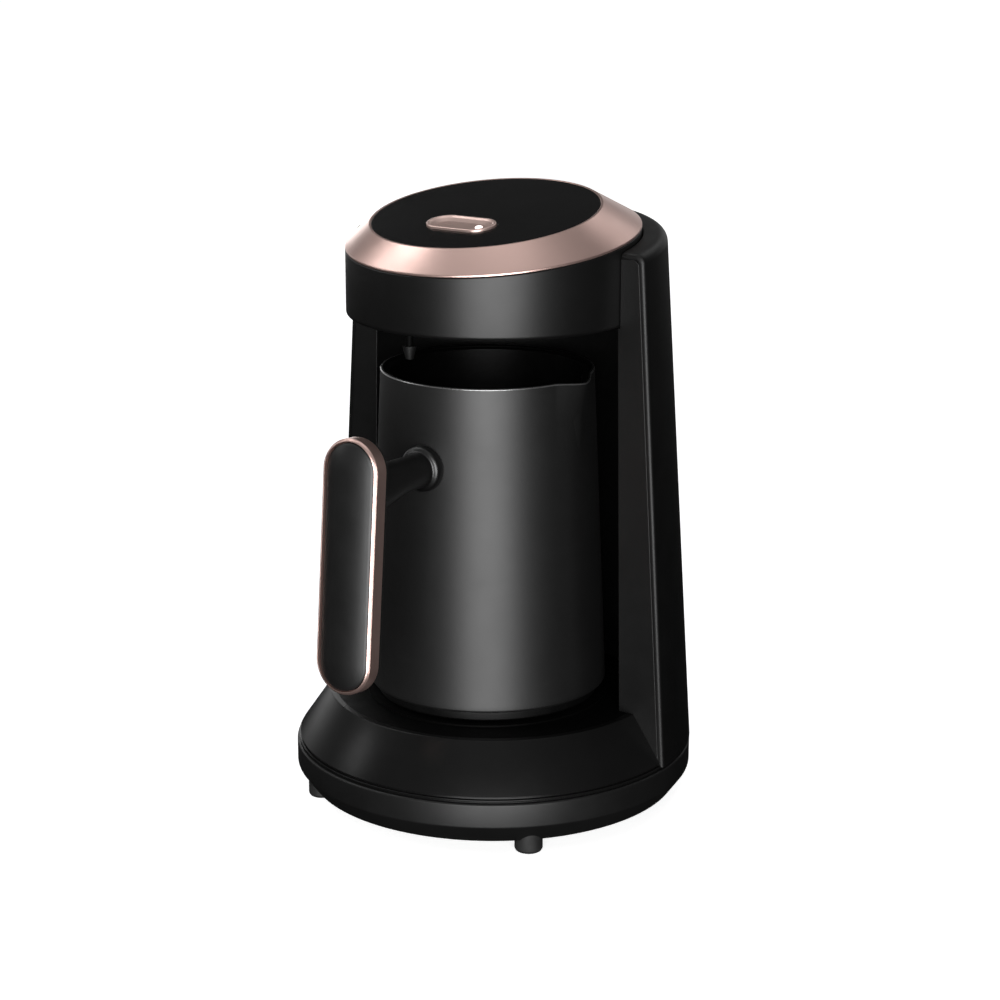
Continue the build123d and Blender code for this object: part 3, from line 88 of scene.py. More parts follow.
def grid(name, rows, close_rows=True, close_cols=True, cap_ends=False, sharp=32.0):
    """A mesh from rows of points. Rows are joined to the next row, points to the next point."""
    bm = bmesh.new()
    vs = [[bm.verts.new(to_world(p)) for p in row] for row in rows]
    nr, nc = len(rows), len(rows[0])
    for i in range(nr if close_rows else nr - 1):
        for j in range(nc if close_cols else nc - 1):
            quad = [vs[i][j], vs[(i + 1) % nr][j], vs[(i + 1) % nr][(j + 1) % nc], vs[i][(j + 1) % nc]]
            try:
                bm.faces.new(quad)
            except ValueError:
                pass
    if cap_ends:
        for row in (vs[0], vs[-1]):
            try:
                bm.faces.new(row)
            except ValueError:
                pass
    bmesh.ops.remove_doubles(bm, verts=bm.verts, dist=2e-7)
    bmesh.ops.dissolve_degenerate(bm, edges=bm.edges, dist=1e-7)
    bmesh.ops.recalc_face_normals(bm, faces=bm.faces)
    return finish_mesh(name, bm, sharp)


def finish_mesh(name, bm, sharp=32.0):
    me = bpy.data.meshes.new(name)
    bm.to_mesh(me)
    bm.free()
    ob = bpy.data.objects.new(name, me)
    bpy.context.scene.collection.objects.link(ob)
    me.shade_smooth()
    me.set_sharp_from_angle(angle=math.radians(sharp))
    return ob


def circle_angles(n, a0=0.0, a1=360.0):
    full = abs(a1 - a0 - 360) < 1e-6
    return [math.radians(a0 + (a1 - a0) * i / (n if full else n - 1)) for i in range(n)], full


def lathe(name, profile, n=192, centre=(0.0, 0.0), a0=0.0, a1=360.0, closed=True, k=5, sharp=32.0, warp=None):
    """Turns (r, z, radius) about a vertical axis. Angle 0 is +X, 90 is +Y. warp may move each point."""
    prof = rounded([(p[0], 0.0, p[1], p[2] if len(p) > 2 else 0.0) for p in profile], closed, k)
    ang, full = circle_angles(n, a0, a1)
    rows = []
    for t in ang:
        row = []
        for q in prof:
            r, z = max(q.x, 0.0), q.z
            if warp:
                r, z = warp(t, r, z)
            row.append((centre[0] + r * math.cos(t), centre[1] + r * math.sin(t), z))
        rows.append(row)
    return grid(name, rows, close_rows=full, close_cols=closed, cap_ends=not full, sharp=sharp)


def stadium(length, width, inset, n=96):
    """Outline of a slot form, long axis along x, moved inwards by inset."""
    r = width / 2 - inset
    half = (length - width) / 2
    pts = []
    for i in range(n):
        t = 2 * math.pi * i / n
        c, s = math.cos(t), math.sin(t)
        pts.append((r * c + (half if c >= 0 else -half), r * s))
    m = n // 4
    out = []
    straight = 10
    for i in range(n):
        out.append(pts[i])
        if i in (m, 3 * m):
            a, b = (half, r) if i == m else (-half, -r)
            # a few points along each straight run
            sgn = -1 if i == m else 1
            out[-1] = (a, b)
            for j in range(1, straight):
                out.append((a + sgn * 2 * half * j / straight, b))
            out.append((-a, b))
    return out


def stadium_grid(name, length, width, profile, place, n=96, k=4, sharp=32.0, shape=None, closed=True, centre_fill=False):
    """Carries (inset, height, radius) round a slot form. place maps (x, y, h) to mm about the machine's axis."""
    prof = rounded([(p[0], 0.0, p[1], p[2] if len(p) > 2 else 0.0) for p in profile], closed, k)
    cols = []
    for q in prof:
        ring = stadium(length, width, q.x, n)
        cols.append([place(x, y, shape(x, y, q.z) if shape else q.z) for x, y in ring])
    rows = list(map(list, zip(*cols)))
    return grid(name, rows, close_rows=True, close_cols=closed, sharp=sharp)


def join(name, *obs):
    """Joins meshes of one piece into one object."""
    bm = bmesh.new()
    slots = []
    for o in obs:
        off = len(bm.faces)
        bm.from_mesh(o.data)
        bm.faces.ensure_lookup_table()
        base = len(slots)
        slots.extend(o.data.materials)
        for f in bm.faces[off:]:
            f.material_index += base
    me = bpy.data.meshes.new(name)
    bm.to_mesh(me)
    bm.free()
    for m in slots:
        me.materials.append(m)
    for o in obs:
        bpy.data.objects.remove(o)
    ob = bpy.data.objects.new(name, me)
    bpy.context.scene.collection.objects.link(ob)
    return ob


def cut(ob, *cutters, sharp=32.0):
    """Cuts closed cutters out of ob, and removes them."""
    for c in cutters:
        m = ob.modifiers.new("cut", "BOOLEAN")
        m.operation = "DIFFERENCE"
        m.solver = "EXACT"
        m.object = c
    dg = bpy.context.evaluated_depsgraph_get()
    dg.update()
    me = bpy.data.meshes.new_from_object(ob.evaluated_get(dg))
    ob.modifiers.clear()
    old = ob.data
    ob.data = me
    bpy.data.meshes.remove(old)
    for c in cutters:
        bpy.data.objects.remove(c)
    me.shade_smooth()
    me.set_sharp_from_angle(angle=math.radians(sharp))
    return ob


def weighted(ob):
    m = ob.modifiers.new("weighted_normals", "WEIGHTED_NORMAL")
    m.keep_sharp = True
    m.weight = 80
    return ob


# ------------------------------------------------------------------ materials
def nodes_of(m):
    return m.node_tree.nodes, m.node_tree.links


def make(name, base, metallic=0.0, rough=0.4, rough_var=0.06, spec=0.5, tint=0.12, patch=60.0,
         grain=2200.0, grain_h=0.00002, dimple=0.0, dimple_scale=380.0, coat=0.0, coat_rough=0.08,
         scuff=0.0, scuff_scale=26.0, brushed=None, alpha=1.0, transmission=0.0, emission=None, emission_strength=0.0):
    """A moulded, painted or metal surface: colour drift, roughness drift, fine grain, and light scuffs."""
    m = bpy.data.materials.new(name)
    m.use_nodes = True
    ns, ln = nodes_of(m)
    b = ns["Principled BSDF"]
    b.inputs["Metallic"].default_value = metallic
    b.inputs["Specular IOR Level"].default_value = spec
    b.inputs["Coat Weight"].default_value = coat
    b.inputs["Coat Roughness"].default_value = coat_rough
    b.inputs["Alpha"].default_value = alpha
    b.inputs["Transmission Weight"].default_value = transmission
    if emission:
        b.inputs["Emission Color"].default_value = (*emission, 1)
        b.inputs["Emission Strength"].default_value = emission_strength
    tc = ns.new("ShaderNodeTexCoord")
    # slow drift of colour and gloss over the surface
    drift = ns.new("ShaderNodeTexNoise")
    drift.inputs["Scale"].default_value = patch
    drift.inputs["Detail"].default_value = 4.0
    ln.new(tc.outputs["Object"], drift.inputs["Vector"])
    ramp = ns.new("ShaderNodeValToRGB")
    lo = [c * (1 - tint) for c in base]
    hi = [min(1.0, c * (1 + tint)) for c in base]
    ramp.color_ramp.elements[0].position = 0.3
    ramp.color_ramp.elements[0].color = (*lo, 1)
    ramp.color_ramp.elements[1].position = 0.7
    ramp.color_ramp.elements[1].color = (*hi, 1)
    ln.new(drift.outputs["Fac"], ramp.inputs["Fac"])
    ln.new(ramp.outputs["Color"], b.inputs["Base Color"])
    # roughness: drift plus fine scuffs from handling
    rmap = ns.new("ShaderNodeMapRange")
    rmap.inputs["From Min"].default_value = 0.3
    rmap.inputs["From Max"].default_value = 0.7
    rmap.inputs["To Min"].default_value = max(0.02, rough - rough_var)
    rmap.inputs["To Max"].default_value = min(1.0, rough + rough_var)
    rsrc = ns.new("ShaderNodeTexNoise")
    rsrc.inputs["Scale"].default_value = patch * 2.3
    rsrc.inputs["Detail"].default_value = 6.0
    rsrc.inputs["Roughness"].default_value = 0.6
    ln.new(tc.outputs["Object"], rsrc.inputs["Vector"])
    ln.new(rsrc.outputs["Fac"], rmap.inputs["Value"])
    rough_out = rmap.outputs["Result"]
    if scuff:
        mp = ns.new("ShaderNodeMapping")
        mp.inputs["Scale"].default_value = (1.0, 1.0, 9.0)
        mp.inputs["Rotation"].default_value = (0.5, 0.9, 0.2)
        ln.new(tc.outputs["Object"], mp.inputs["Vector"])
        sc = ns.new("ShaderNodeTexNoise")
        sc.inputs["Scale"].default_value = scuff_scale
        sc.inputs["Detail"].default_value = 9.0
        sc.inputs["Roughness"].default_value = 0.72
        ln.new(mp.outputs["Vector"], sc.inputs["Vector"])
        sm = ns.new("ShaderNodeMapRange")
        sm.inputs["From Min"].default_value = 0.58
        sm.inputs["From Max"].default_value = 0.76
        sm.inputs["To Min"].default_value = 0.0
        sm.inputs["To Max"].default_value = scuff
        ln.new(sc.outputs["Fac"], sm.inputs["Value"])
        add = ns.new("ShaderNodeMath")
        add.operation = "ADD"
        add.use_clamp = True
        ln.new(rough_out, add.inputs[0])
        ln.new(sm.outputs["Result"], add.inputs[1])
        rough_out = add.outputs[0]
    ln.new(rough_out, b.inputs["Roughness"])
    # bump: moulded grain, and dimples of paint or moulding
    gr = ns.new("ShaderNodeTexNoise")
    gr.inputs["Scale"].default_value = grain
    gr.inputs["Detail"].default_value = 3.0
    gvec = tc.outputs["Object"]
    if brushed:
        bmv = ns.new("ShaderNodeMapping")
        bmv.inputs["Scale"].default_value = brushed
        ln.new(gvec, bmv.inputs["Vector"])
        gvec = bmv.outputs["Vector"]
    ln.new(gvec, gr.inputs["Vector"])
    bump = ns.new("ShaderNodeBump")
    bump.inputs["Strength"].default_value = 1.0
    bump.inputs["Distance"].default_value = grain_h
    ln.new(gr.outputs["Fac"], bump.inputs["Height"])
    last = bump
    if dimple:
        dm = ns.new("ShaderNodeTexVoronoi")
        dm.feature = "SMOOTH_F1"
        dm.inputs["Scale"].default_value = dimple_scale
        ln.new(tc.outputs["Object"], dm.inputs["Vector"])
        b2 = ns.new("ShaderNodeBump")
        b2.inputs["Strength"].default_value = 1.0
        b2.inputs["Distance"].default_value = dimple
        ln.new(dm.outputs["Distance"], b2.inputs["Height"])
        ln.new(bump.outputs["Normal"], b2.inputs["Normal"])
        last = b2
    ln.new(last.outputs["Normal"], b.inputs["Normal"])
    return m


GLOSS = dict(spec=0.5, rough=0.12, rough_var=0.03, tint=0.25, patch=24.0, grain=900.0, grain_h=0.000004,
             scuff=0.10, scuff_scale=30.0)
SATIN = dict(spec=0.5, rough=0.46, rough_var=0.03, tint=0.15, patch=40.0, grain=2600.0, grain_h=0.000018, scuff=0.04)

M = {
    "base_satin": make("base_satin", (0.004, 0.004, 0.004), **{**SATIN, "rough": 0.45, "spec": 0.37}),
    "foot_rubber": make("foot_rubber", (0.014, 0.014, 0.014), rough=0.62, rough_var=0.09, spec=0.32, tint=0.3, patch=150.0,
                        grain=1700.0, grain_h=0.00005),
    "screw_steel": make("screw_steel", (0.55, 0.55, 0.56), metallic=1.0, rough=0.32, rough_var=0.1, tint=0.1,
                        patch=500.0, grain=3000.0, grain_h=0.00001),
    "shell_satin": make("shell_satin", (0.003, 0.003, 0.003), **{**SATIN, "spec": 0.33}),
    "skirt_gloss": make("skirt_gloss", (0.004, 0.004, 0.004), **{**GLOSS, "rough": 0.3, "scuff": 0.04, "spec": 0.17}),
    "floor_satin": make("floor_satin", (0.0015, 0.0015, 0.0015), rough=0.5, rough_var=0.06, spec=0.06, tint=0.2,
                        patch=50.0, grain=1900.0, grain_h=0.00003, scuff=0.1),
    "cover_satin": make("cover_satin", (0.002, 0.002, 0.002), **{**SATIN, "spec": 0.33}),
    "bush_rubber": make("bush_rubber", (0.025, 0.025, 0.025), rough=0.58, rough_var=0.08, spec=0.3, tint=0.3,
                        patch=200.0, grain=1500.0, grain_h=0.00004),
    "head_satin": make("head_satin", (0.003, 0.003, 0.003), **{**SATIN, "spec": 0.4, "rough": 0.41, "rough_var": 0.015}),
    "underside_black": make("underside_black", (0.004, 0.004, 0.004), rough=0.45, rough_var=0.06, spec=0.5, tint=0.2,
                            patch=60.0, grain=1800.0, grain_h=0.00003),
    "rose_gold": make("rose_gold", (0.68, 0.475, 0.425), metallic=0.92, rough=0.33, rough_var=0.03, tint=0.025,
                      patch=35.0, grain=3600.0, grain_h=0.000022, scuff=0.06, scuff_scale=40.0),
    "panel_gloss": make("panel_gloss", (0.002, 0.002, 0.002), **{**GLOSS, "rough": 0.16, "spec": 0.06}),
    "light_pipe": make("light_pipe", (0.95, 0.90, 0.88), rough=0.3, rough_var=0.05, spec=0.5, tint=0.03, patch=300.0,
                       grain=2000.0, grain_h=0.00001, emission=(1.0, 0.86, 0.82), emission_strength=1.5),
    "spring_steel": make("spring_steel", (0.6, 0.6, 0.61), metallic=1.0, rough=0.25, rough_var=0.08, tint=0.08,
                         patch=400.0, grain=2500.0, grain_h=0.00001),
    "carrier_black": make("carrier_black", (0.025, 0.025, 0.025), rough=0.5, rough_var=0.06, tint=0.2),
    "board_green": make("board_green", (0.02, 0.14, 0.07), rough=0.3, rough_var=0.06, tint=0.25, patch=180.0,
                        grain=700.0, grain_h=0.00003),
    "component_black": make("component_black", (0.022, 0.022, 0.022), rough=0.42, rough_var=0.08, tint=0.2, patch=200.0),
    "component_blue": make("component_blue", (0.04, 0.10, 0.36), rough=0.3, rough_var=0.06, tint=0.12, patch=160.0),
    "component_white": make("component_white", (0.74, 0.73, 0.69), rough=0.42, rough_var=0.06, tint=0.05, patch=160.0),
    "connector_green": make("connector_green", (0.04, 0.28, 0.12), rough=0.4, rough_var=0.06, tint=0.12, patch=160.0),
    "led_clear": make("led_clear", (0.92, 0.92, 0.9), rough=0.12, rough_var=0.03, tint=0.03, patch=300.0,
                      transmission=0.6),
    "socket_ceramic": make("socket_ceramic", (0.03, 0.03, 0.03), rough=0.55, rough_var=0.08, tint=0.2, patch=140.0,
                           grain=1500.0, grain_h=0.00004),
    "contact_brass": make("contact_brass", (0.72, 0.55, 0.26), metallic=1.0, rough=0.28, rough_var=0.1, tint=0.1,
                          patch=400.0),
    "wire_black": make("wire_black", (0.025, 0.025, 0.025), rough=0.45, rough_var=0.06, tint=0.2, patch=200.0),
    "lead_silicone": make("lead_silicone", (0.42, 0.04, 0.03), rough=0.45, rough_var=0.06, tint=0.12, patch=200.0),
    "pot_satin": make("pot_satin", (0.003, 0.003, 0.003), **{**SATIN, "spec": 0.56, "rough": 0.47, "rough_var": 0.012}),
    "liner_coat": make("liner_coat", (0.0015, 0.0015, 0.0015), rough=0.42, rough_var=0.05, spec=0.1, tint=0.25, patch=70.0,
                       grain=1600.0, grain_h=0.00003, dimple=0.00002, dimple_scale=900.0),
    "heater_aluminium": make("heater_aluminium", (0.62, 0.62, 0.62), metallic=1.0, rough=0.45, rough_var=0.1, tint=0.1,
                             patch=100.0),
    "element_steel": make("element_steel", (0.3, 0.28, 0.27), metallic=1.0, rough=0.5, rough_var=0.1, tint=0.25,
                          patch=120.0),
    "cap_black": make("cap_black", (0.002, 0.002, 0.002), rough=0.45, rough_var=0.06, spec=0.2, tint=0.2, patch=70.0,
                      grain=1800.0, grain_h=0.00003),
    "seal_silicone": make("seal_silicone", (0.18, 0.18, 0.18), rough=0.6, rough_var=0.06, tint=0.1, patch=150.0),
    "stem_satin": make("stem_satin", (0.002, 0.002, 0.002), **{**SATIN, "rough": 0.34, "spec": 0.6}),
    "grip_core": make("grip_core", (0.003, 0.003, 0.003), **{**SATIN, "rough": 0.5, "spec": 0.4}),
    "grip_inlay": make("grip_inlay", (0.005, 0.005, 0.005), **{**SATIN, "rough": 0.42}),
}

# the pot's bare rolled edge
EDGE = make("rolled_edge", (0.30, 0.30, 0.30), metallic=0.9, rough=0.3, rough_var=0.05, tint=0.1, patch=120.0, grain=2600.0,
            grain_h=0.00001)
# painted light: the key gets a lighter, less metallic copy of the ring's rose gold, which brightens its hollow
KEY_ROSE_PAINTED_LIGHT = make("rose_gold_key_painted_light", (0.80, 0.59, 0.53), metallic=0.78, rough=0.36, rough_var=0.03, tint=0.02, patch=60.0,
                grain=3600.0, grain_h=0.00001)
# painted shade: a black with almost no gloss, put on the sensor's unlit stem and inside the pot's rim so that they stay
# dark
PAINTED_SHADE_BLACK = make("painted_shade_black", (0.001, 0.001, 0.001), rough=0.6, rough_var=0.05, spec=0.05, tint=0.2, patch=120.0)

slot_of = {s["node"]: s["material_slot"] for s in frame["record"]["subparts"]}
for node, ob in frame["nodes"].items():
    ob.data.materials.clear()
    ob.data.materials.append(M[slot_of[node]])
    ob.data.shade_smooth()
    ob.data.set_sharp_from_angle(angle=math.radians(30))


tip = frame["nodes"]["sensor_nozzle"]
# painted shade: the sensor's stem above 192.35 mm takes the painted-shade black
tip.data.materials.append(PAINTED_SHADE_BLACK)
for poly in tip.data.polygons:
    if (tip.matrix_world @ poly.center).z > (192.35 + AZ) * MM:
        poly.material_index = 1


def piece(ob, body, slot, *nodes, material=None):
    """Gives a piece its finish and body, and names the CAD nodes it stands for."""
    if not ob.data.materials:
        ob.data.materials.append(material or M[slot])
    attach(ob, body)
    if nodes:
        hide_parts(*nodes)
    return ob


# ------------------------------------------------------------------ numbers shared with the CAD
def housing_r(z):
    return 82.45 - 0.06247 * (z - 21.0)


def cavity_r(z):
    return 61.1 - 0.01893 * (z - 44.0)


def pot_r(z):
    return 43.05 + 5.7 * (182.2 - z) / (182.2 - 51.8)


def polar(angle, radius):
    t = math.radians(angle)
    return radius * math.sin(t), -radius * math.cos(t)


def cylinder(centre, axis, radius, length, n=40):
    """A closed cutter from centre along axis."""
    bm = bmesh.new()
    axis = Vector(axis).normalized()
    q = Vector((0, 0, 1)).rotation_difference(axis)
    rings = []
    for h in (0.0, length):
        rings.append([bm.verts.new(to_world(Vector(centre) + q @ Vector((radius * math.cos(2 * math.pi * i / n),
                                                                        radius * math.sin(2 * math.pi * i / n), h))))
                      for i in range(n)])
    for i in range(n):
        bm.faces.new([rings[0][i], rings[0][(i + 1) % n], rings[1][(i + 1) % n], rings[1][i]])
    bm.faces.new(rings[0][::-1])
    bm.faces.new(rings[1])
    bmesh.ops.recalc_face_normals(bm, faces=bm.faces)
    return finish_mesh("cutter", bm)


def slot_cutter(centre, normal, up, length, width, depth, n=24):
    """A closed slot-shaped cutter: long axis along up, pushed along normal."""
    normal, up = Vector(normal).normalized(), Vector(up).normalized()
    side = normal.cross(up)
    bm = bmesh.new()
    rings = []
    ring = stadium(length, width, 0.0, n)
    for h in (0.0, depth):
        rings.append([bm.verts.new(to_world(Vector(centre) + up * x + side * y + normal * h)) for x, y in ring])
    m = len(ring)
    for i in range(m):
        bm.faces.new([rings[0][i], rings[0][(i + 1) % m], rings[1][(i + 1) % m], rings[1][i]])
    bm.faces.new(rings[0][::-1])
    bm.faces.new(rings[1])
    bmesh.ops.remove_doubles(bm, verts=bm.verts, dist=1e-7)
    bmesh.ops.recalc_face_normals(bm, faces=bm.faces)
    return finish_mesh("cutter", bm)


# ------------------------------------------------------------------ base tray
base = lathe("base_tray_shell", [(0, 7.65), (76.2, 7.65, 1.2), (82.0, 15.6, 1.5), (82.0, 25.4, 0.9), (79.8, 25.4, 0.2),
                                 (79.8, 17.6), (75.2, 10.8), (0, 10.8)], n=256)
cutters = [slot_cutter((6.0 * k, 0, 5), (0, 0, 1), (0, 1, 0), 26, 2.4, 9) for k in range(-3, 4)]
for a, r in ((22, 62), (338, 62), (148, 66), (212, 66)):
    x, y = polar(a, r)
    cutters.append(cylinder((x, y, 6), (0, 0, 1), 3.4, 5.25))
for a in (45, 135, 225, 315):
    x, y = polar(a, 70.0)
    cutters.append(cylinder((x, y, 6), (0, 0, 1), 2.9, 8))
cut(base, *cutters)
piece(base, "machine", "base_satin", "base_tray")

# ------------------------------------------------------------------ feet
feet = []


def foot_top(x, y):
    """Follows the underside and the chamfer of the base tray."""
    def warp(t, r, z):
        far = math.hypot(x + r * math.cos(t), y + r * math.sin(t))
        top = 7.62 + max(0.0, far - 76.2) * (15.6 - 7.65) / (82.0 - 76.2)
        return r, min(z, top)
    return warp


for i, a in enumerate((45, 135, 225, 315)):
    x, y = polar(a, 72.6)
    feet.append(lathe(f"foot_{i}", [(0, 2.55), (3.4, 2.55, 0.3), (3.9, 2.2, 0.3), (5.0, 2.2, 0.9), (5.6, 3.4, 1.0),
                                    (5.6, 14.0), (4.2, 14.0), (2.4, 14.0), (0, 14.0)], n=72, centre=(x, y), warp=foot_top(x, y)))
    x, y = polar(a, 70.0)
    feet.append(lathe(f"foot_stem_{i}", [(0, 7.6), (2.85, 7.6), (2.85, 10.85), (3.75, 10.9, 0.3), (3.1, 12.3, 0.4), (0, 12.3)],
                      n=48, centre=(x, y)))
piece(join("rubber_feet_set", *feet), "machine", "foot_rubber", "rubber_feet")

# ------------------------------------------------------------------ skirt in front of the wings
skirt = lathe("front_skirt_ring", [(79.6, 22.0), (79.6, 25.45), (80.6, 25.45), (80.6, 26.1), (81.3, 26.15, 0.25),
                                   (81.3, 26.9, 0.3), (80.05, 26.95, 0.1), (80.0, 27.55), (80.8, 27.65, 0.3),
                                   (67.8, 46.5, 0.8), (65.2, 46.5), (65.2, 44.1), (67.0, 43.6), (77.4, 28.4),
                                   (77.4, 22.0)], n=200, a0=180.0, a1=360.0)
piece(skirt, "machine", "skirt_gloss", "front_skirt")


# ------------------------------------------------------------------ wings
def wing(side):
    """One front strip: an upright plate between the cavity's edge and the cover, with softened edges."""
    inset = 2.3
    outer = [(housing_r(26.1) - inset, 26.1, 0.3)]
    steps = 14
    for i in range(1, steps):
        z = 26.1 + (226.0 - 26.1) * i / steps
        outer.append((housing_r(z) - inset, z, 0.0))
    top = 233.0 - 2.3
    outer.append((housing_r(top) - inset, top, 2.6))
    outline = outer + [(59.08, top, 0.0), (59.08, 203.45, 0.0), (cavity_r(203.45), 203.45, 0.0)]
    for i in range(1, 10):
        z = 203.45 - (203.45 - 44.1) * i / 10
        outline.append((cavity_r(z), z, 0.0))
    outline += [(cavity_r(44.1), 42.0, 0.0), (cavity_r(44.1), 26.1, 0.0)]
    flat = rounded([(p[0], 0.0, p[1], p[2]) for p in outline], True, 8)
    bm = bmesh.new()
    front = [bm.verts.new(to_world((side * q.x, 0.0, q.z))) for q in flat]
    back = [bm.verts.new(to_world((side * q.x, 2.2, q.z))) for q in flat]
    n = len(flat)
    f0 = bm.faces.new(front)
    bm.faces.new(back[::-1])
    for i in range(n):
        bm.faces.new([front[i], back[i], back[(i + 1) % n], front[(i + 1) % n]])
    bmesh.ops.recalc_face_normals(bm, faces=bm.faces)
    edges = [e for e in f0.edges]
    bmesh.ops.bevel(bm, geom=edges, offset=0.55 * MM, segments=3, profile=0.6, affect="EDGES", clamp_overlap=True)
    return weighted(finish_mesh("wing_strip_" + ("right" if side > 0 else "left"), bm, 40))


wings = [wing(-1), wing(1)]
for w in wings:
    piece(w, "machine", "shell_satin")

# half-round wall behind the pot, with the collar round the head
wall = lathe("cavity_wall", [(57.0, 41.8), (57.0, 44.1), (cavity_r(44.1), 44.1), (cavity_r(124), 124), (cavity_r(203.45), 203.45),
                             (59.3, 203.45), (59.3, 226.0), (62.0, 226.0), (62.0, 203.0), (cavity_r(198) + 2, 198),
                             (cavity_r(44.1) + 2, 44.1), (68.0, 44.1), (68.0, 41.8)], n=160, a0=0.8, a1=179.2)
piece(wall, "machine", "shell_satin", "cavity_shell")


# ------------------------------------------------------------------ rear cover
TAN_R = math.tan(math.radians(6.5))                            # fall of the roof towards the front


def cover_section(base_z, slope, inset):
    """Section of the cover at one angle: base_z and slope give the roof, inset pulls the outside in."""
    ztop = base_z + housing_r(240) * slope
    rt = housing_r(ztop)
    ztop = base_z + rt * slope
    ri = housing_r(ztop - 2.2) - 2.2
    zi = base_z - 2.2 + ri * slope
    sec = [(79.6, 0, 21.5, 0.4), (79.6, 0, 26.1, 0), (housing_r(26.1) - inset, 0, 26.1, 0.35), (housing_r(130) - inset, 0, 130, 0),
           (rt - inset, 0, ztop - inset, 4.0), (59.35, 0, base_z + 59.35 * slope - inset, 0.5),
           (59.35, 0, base_z - 2.2 + 59.35 * slope, 0.0), (ri, 0, zi, 1.8), (housing_r(130) - 2.2, 0, 130, 0),
           (79.75, 0, 29.0, 0), (77.2, 0, 26.4, 0), (77.2, 0, 21.5, 0.3)]
    return rounded(sec, True, 7)


def cover_rows():
    rows = []
    brim = 1.45                                                # rounding of the front edges
    ends = []
    for i in range(9):
        f = math.radians(90.0 * i / 8)
        y = 0.05 + brim * (1 - math.cos(f))
        pts = cover_section(233.0 + y * TAN_H, 0.0, 0.012 + brim * (1 - math.sin(f)))
        ends.append([(math.sqrt(q.x * q.x - y * y), y, q.z) for q in pts])
    rows.extend(ends)
    n = 175
    for i in range(n):
        t = math.radians(2.7 + (180.0 - 5.4) * i / (n - 1))    # from +X round the back to -X
        pts = cover_section(233.0, math.sin(t) * TAN_R, 0.0)
        rows.append([(q.x * math.cos(t), q.x * math.sin(t), q.z) for q in pts])
    rows.extend([[(-p[0], p[1], p[2]) for p in row] for row in reversed(ends)])
    return rows


cover = grid("rear_cover_shell", cover_rows(), close_rows=False, close_cols=True, cap_ends=True, sharp=34)
cutters = []
for k in range(-3, 4):
    t = math.radians(180 + 5.0 * k)
    d = (math.sin(t), -math.cos(t), 0)
    cutters.append(slot_cutter((70 * d[0], 70 * d[1], 60), d, (0, 0, 1), 20, 2.0, 20))
for a, zz in ((140, 62.0), (220, 62.0), (140, 190.0), (220, 190.0)):
    t = math.radians(a)
    d = (math.sin(t), -math.cos(t), 0)
    r = housing_r(zz) - 1.1
    cutters.append(cylinder((r * d[0], r * d[1], zz), d, 3.3, 6))
cutters.append(cylinder((0, 70, 36), (0, 1, 0), 5.0, 20))
cut(cover, *cutters, sharp=34)
piece(cover, "machine", "cover_satin", "rear_cover")


# ------------------------------------------------------------------ head
def head_rows():
    rows = []
    for t in circle_angles(256)[0]:
        c, s = math.cos(t), math.sin(t)
        R = 58.95
        top = 234.7 + R * s * TAN_H
        sec = [(54.0, 0, 203.45, 0.3), (R, 0, 203.45, 1.7), (R, 0, top - 0.25, 0.35), (R - 0.5, 0, top + 0.15, 0.0), (R - 2.2, 0, top, 0),
               (R - 2.2, 0, 205.65, 0), (54.0, 0, 205.65, 0.3)]
        rows.append([(q.x * c, q.x * s, q.z) for q in rounded(sec, True, 6)])
    return rows


piece(grid("head_casing_shell", head_rows()), "machine", "head_satin", "head_casing")

PT = math.radians(9.58)
PAN_O = Vector((0, -5.4, 244.6))
PAN_Y = Vector((0, math.cos(PT), math.sin(PT)))
PAN_Z = Vector((0, -math.sin(PT), math.cos(PT)))


def pan(x, y, h):
    return tuple(PAN_O + Vector((x, 0, 0)) + PAN_Y * y + PAN_Z * h)


def bezel_rows():
    rows = []
    for t in circle_angles(288)[0]:
        c, s = math.cos(t), math.sin(t)
        R = 58.95

        def low(r, up):
            return (r * c, r * s, 234.7 + r * s * TAN_H + up)
        sec = [(*low(R - 0.35, 0.12), 0.1), (*low(R, 0.3), 0.2), (*low(R, 1.0), 0.75), (*pan(46.4 * c, 46.4 * s, 0.0), 0.55),
               (*pan(45.5 * c, 45.5 * s, 0.0), 0.25), (*pan(45.5 * c, 45.5 * s, -2.2), 0.0),
               (*pan(43.7 * c, 43.7 * s, -2.2), 0.0), (*pan(43.7 * c, 43.7 * s, -3.6), 0.0), (*low(R - 2.2, 0.1), 0.0)]
        rows.append(rounded(sec, True, 6))
    return rows


piece(grid("bezel_ring_shell", bezel_rows(), sharp=36), "machine", "rose_gold", "bezel_ring")

# ------------------------------------------------------------------ control panel with its slot
BV = -17.2


def panel_rows():
    rows = []
    ring = stadium(30.7, 16.2, 0.0, 160)
    for x, y in ring:
        # the outer point faces away from the slot's middle
        ang = math.atan2(y * 1.9, x)
        px, py = 45.35 * math.cos(ang), 45.35 * math.sin(ang)
        sec = [(*pan(x, y + BV, -2.2), 0), (*pan(x, y + BV, 0.0), 0.3), (*pan(px, py, 0.0), 0.3), (*pan(px, py, -2.2), 0)]
        rows.append(rounded(sec, True, 4))
    return rows


panel = grid("control_panel_disc", panel_rows(), sharp=30)
piece(weighted(panel), "machine", "panel_gloss", "top_panel")


# ------------------------------------------------------------------ start button: raised rim, hollow thumb rest
def pan_button(x, y, h):
    return pan(x, y + BV, h)


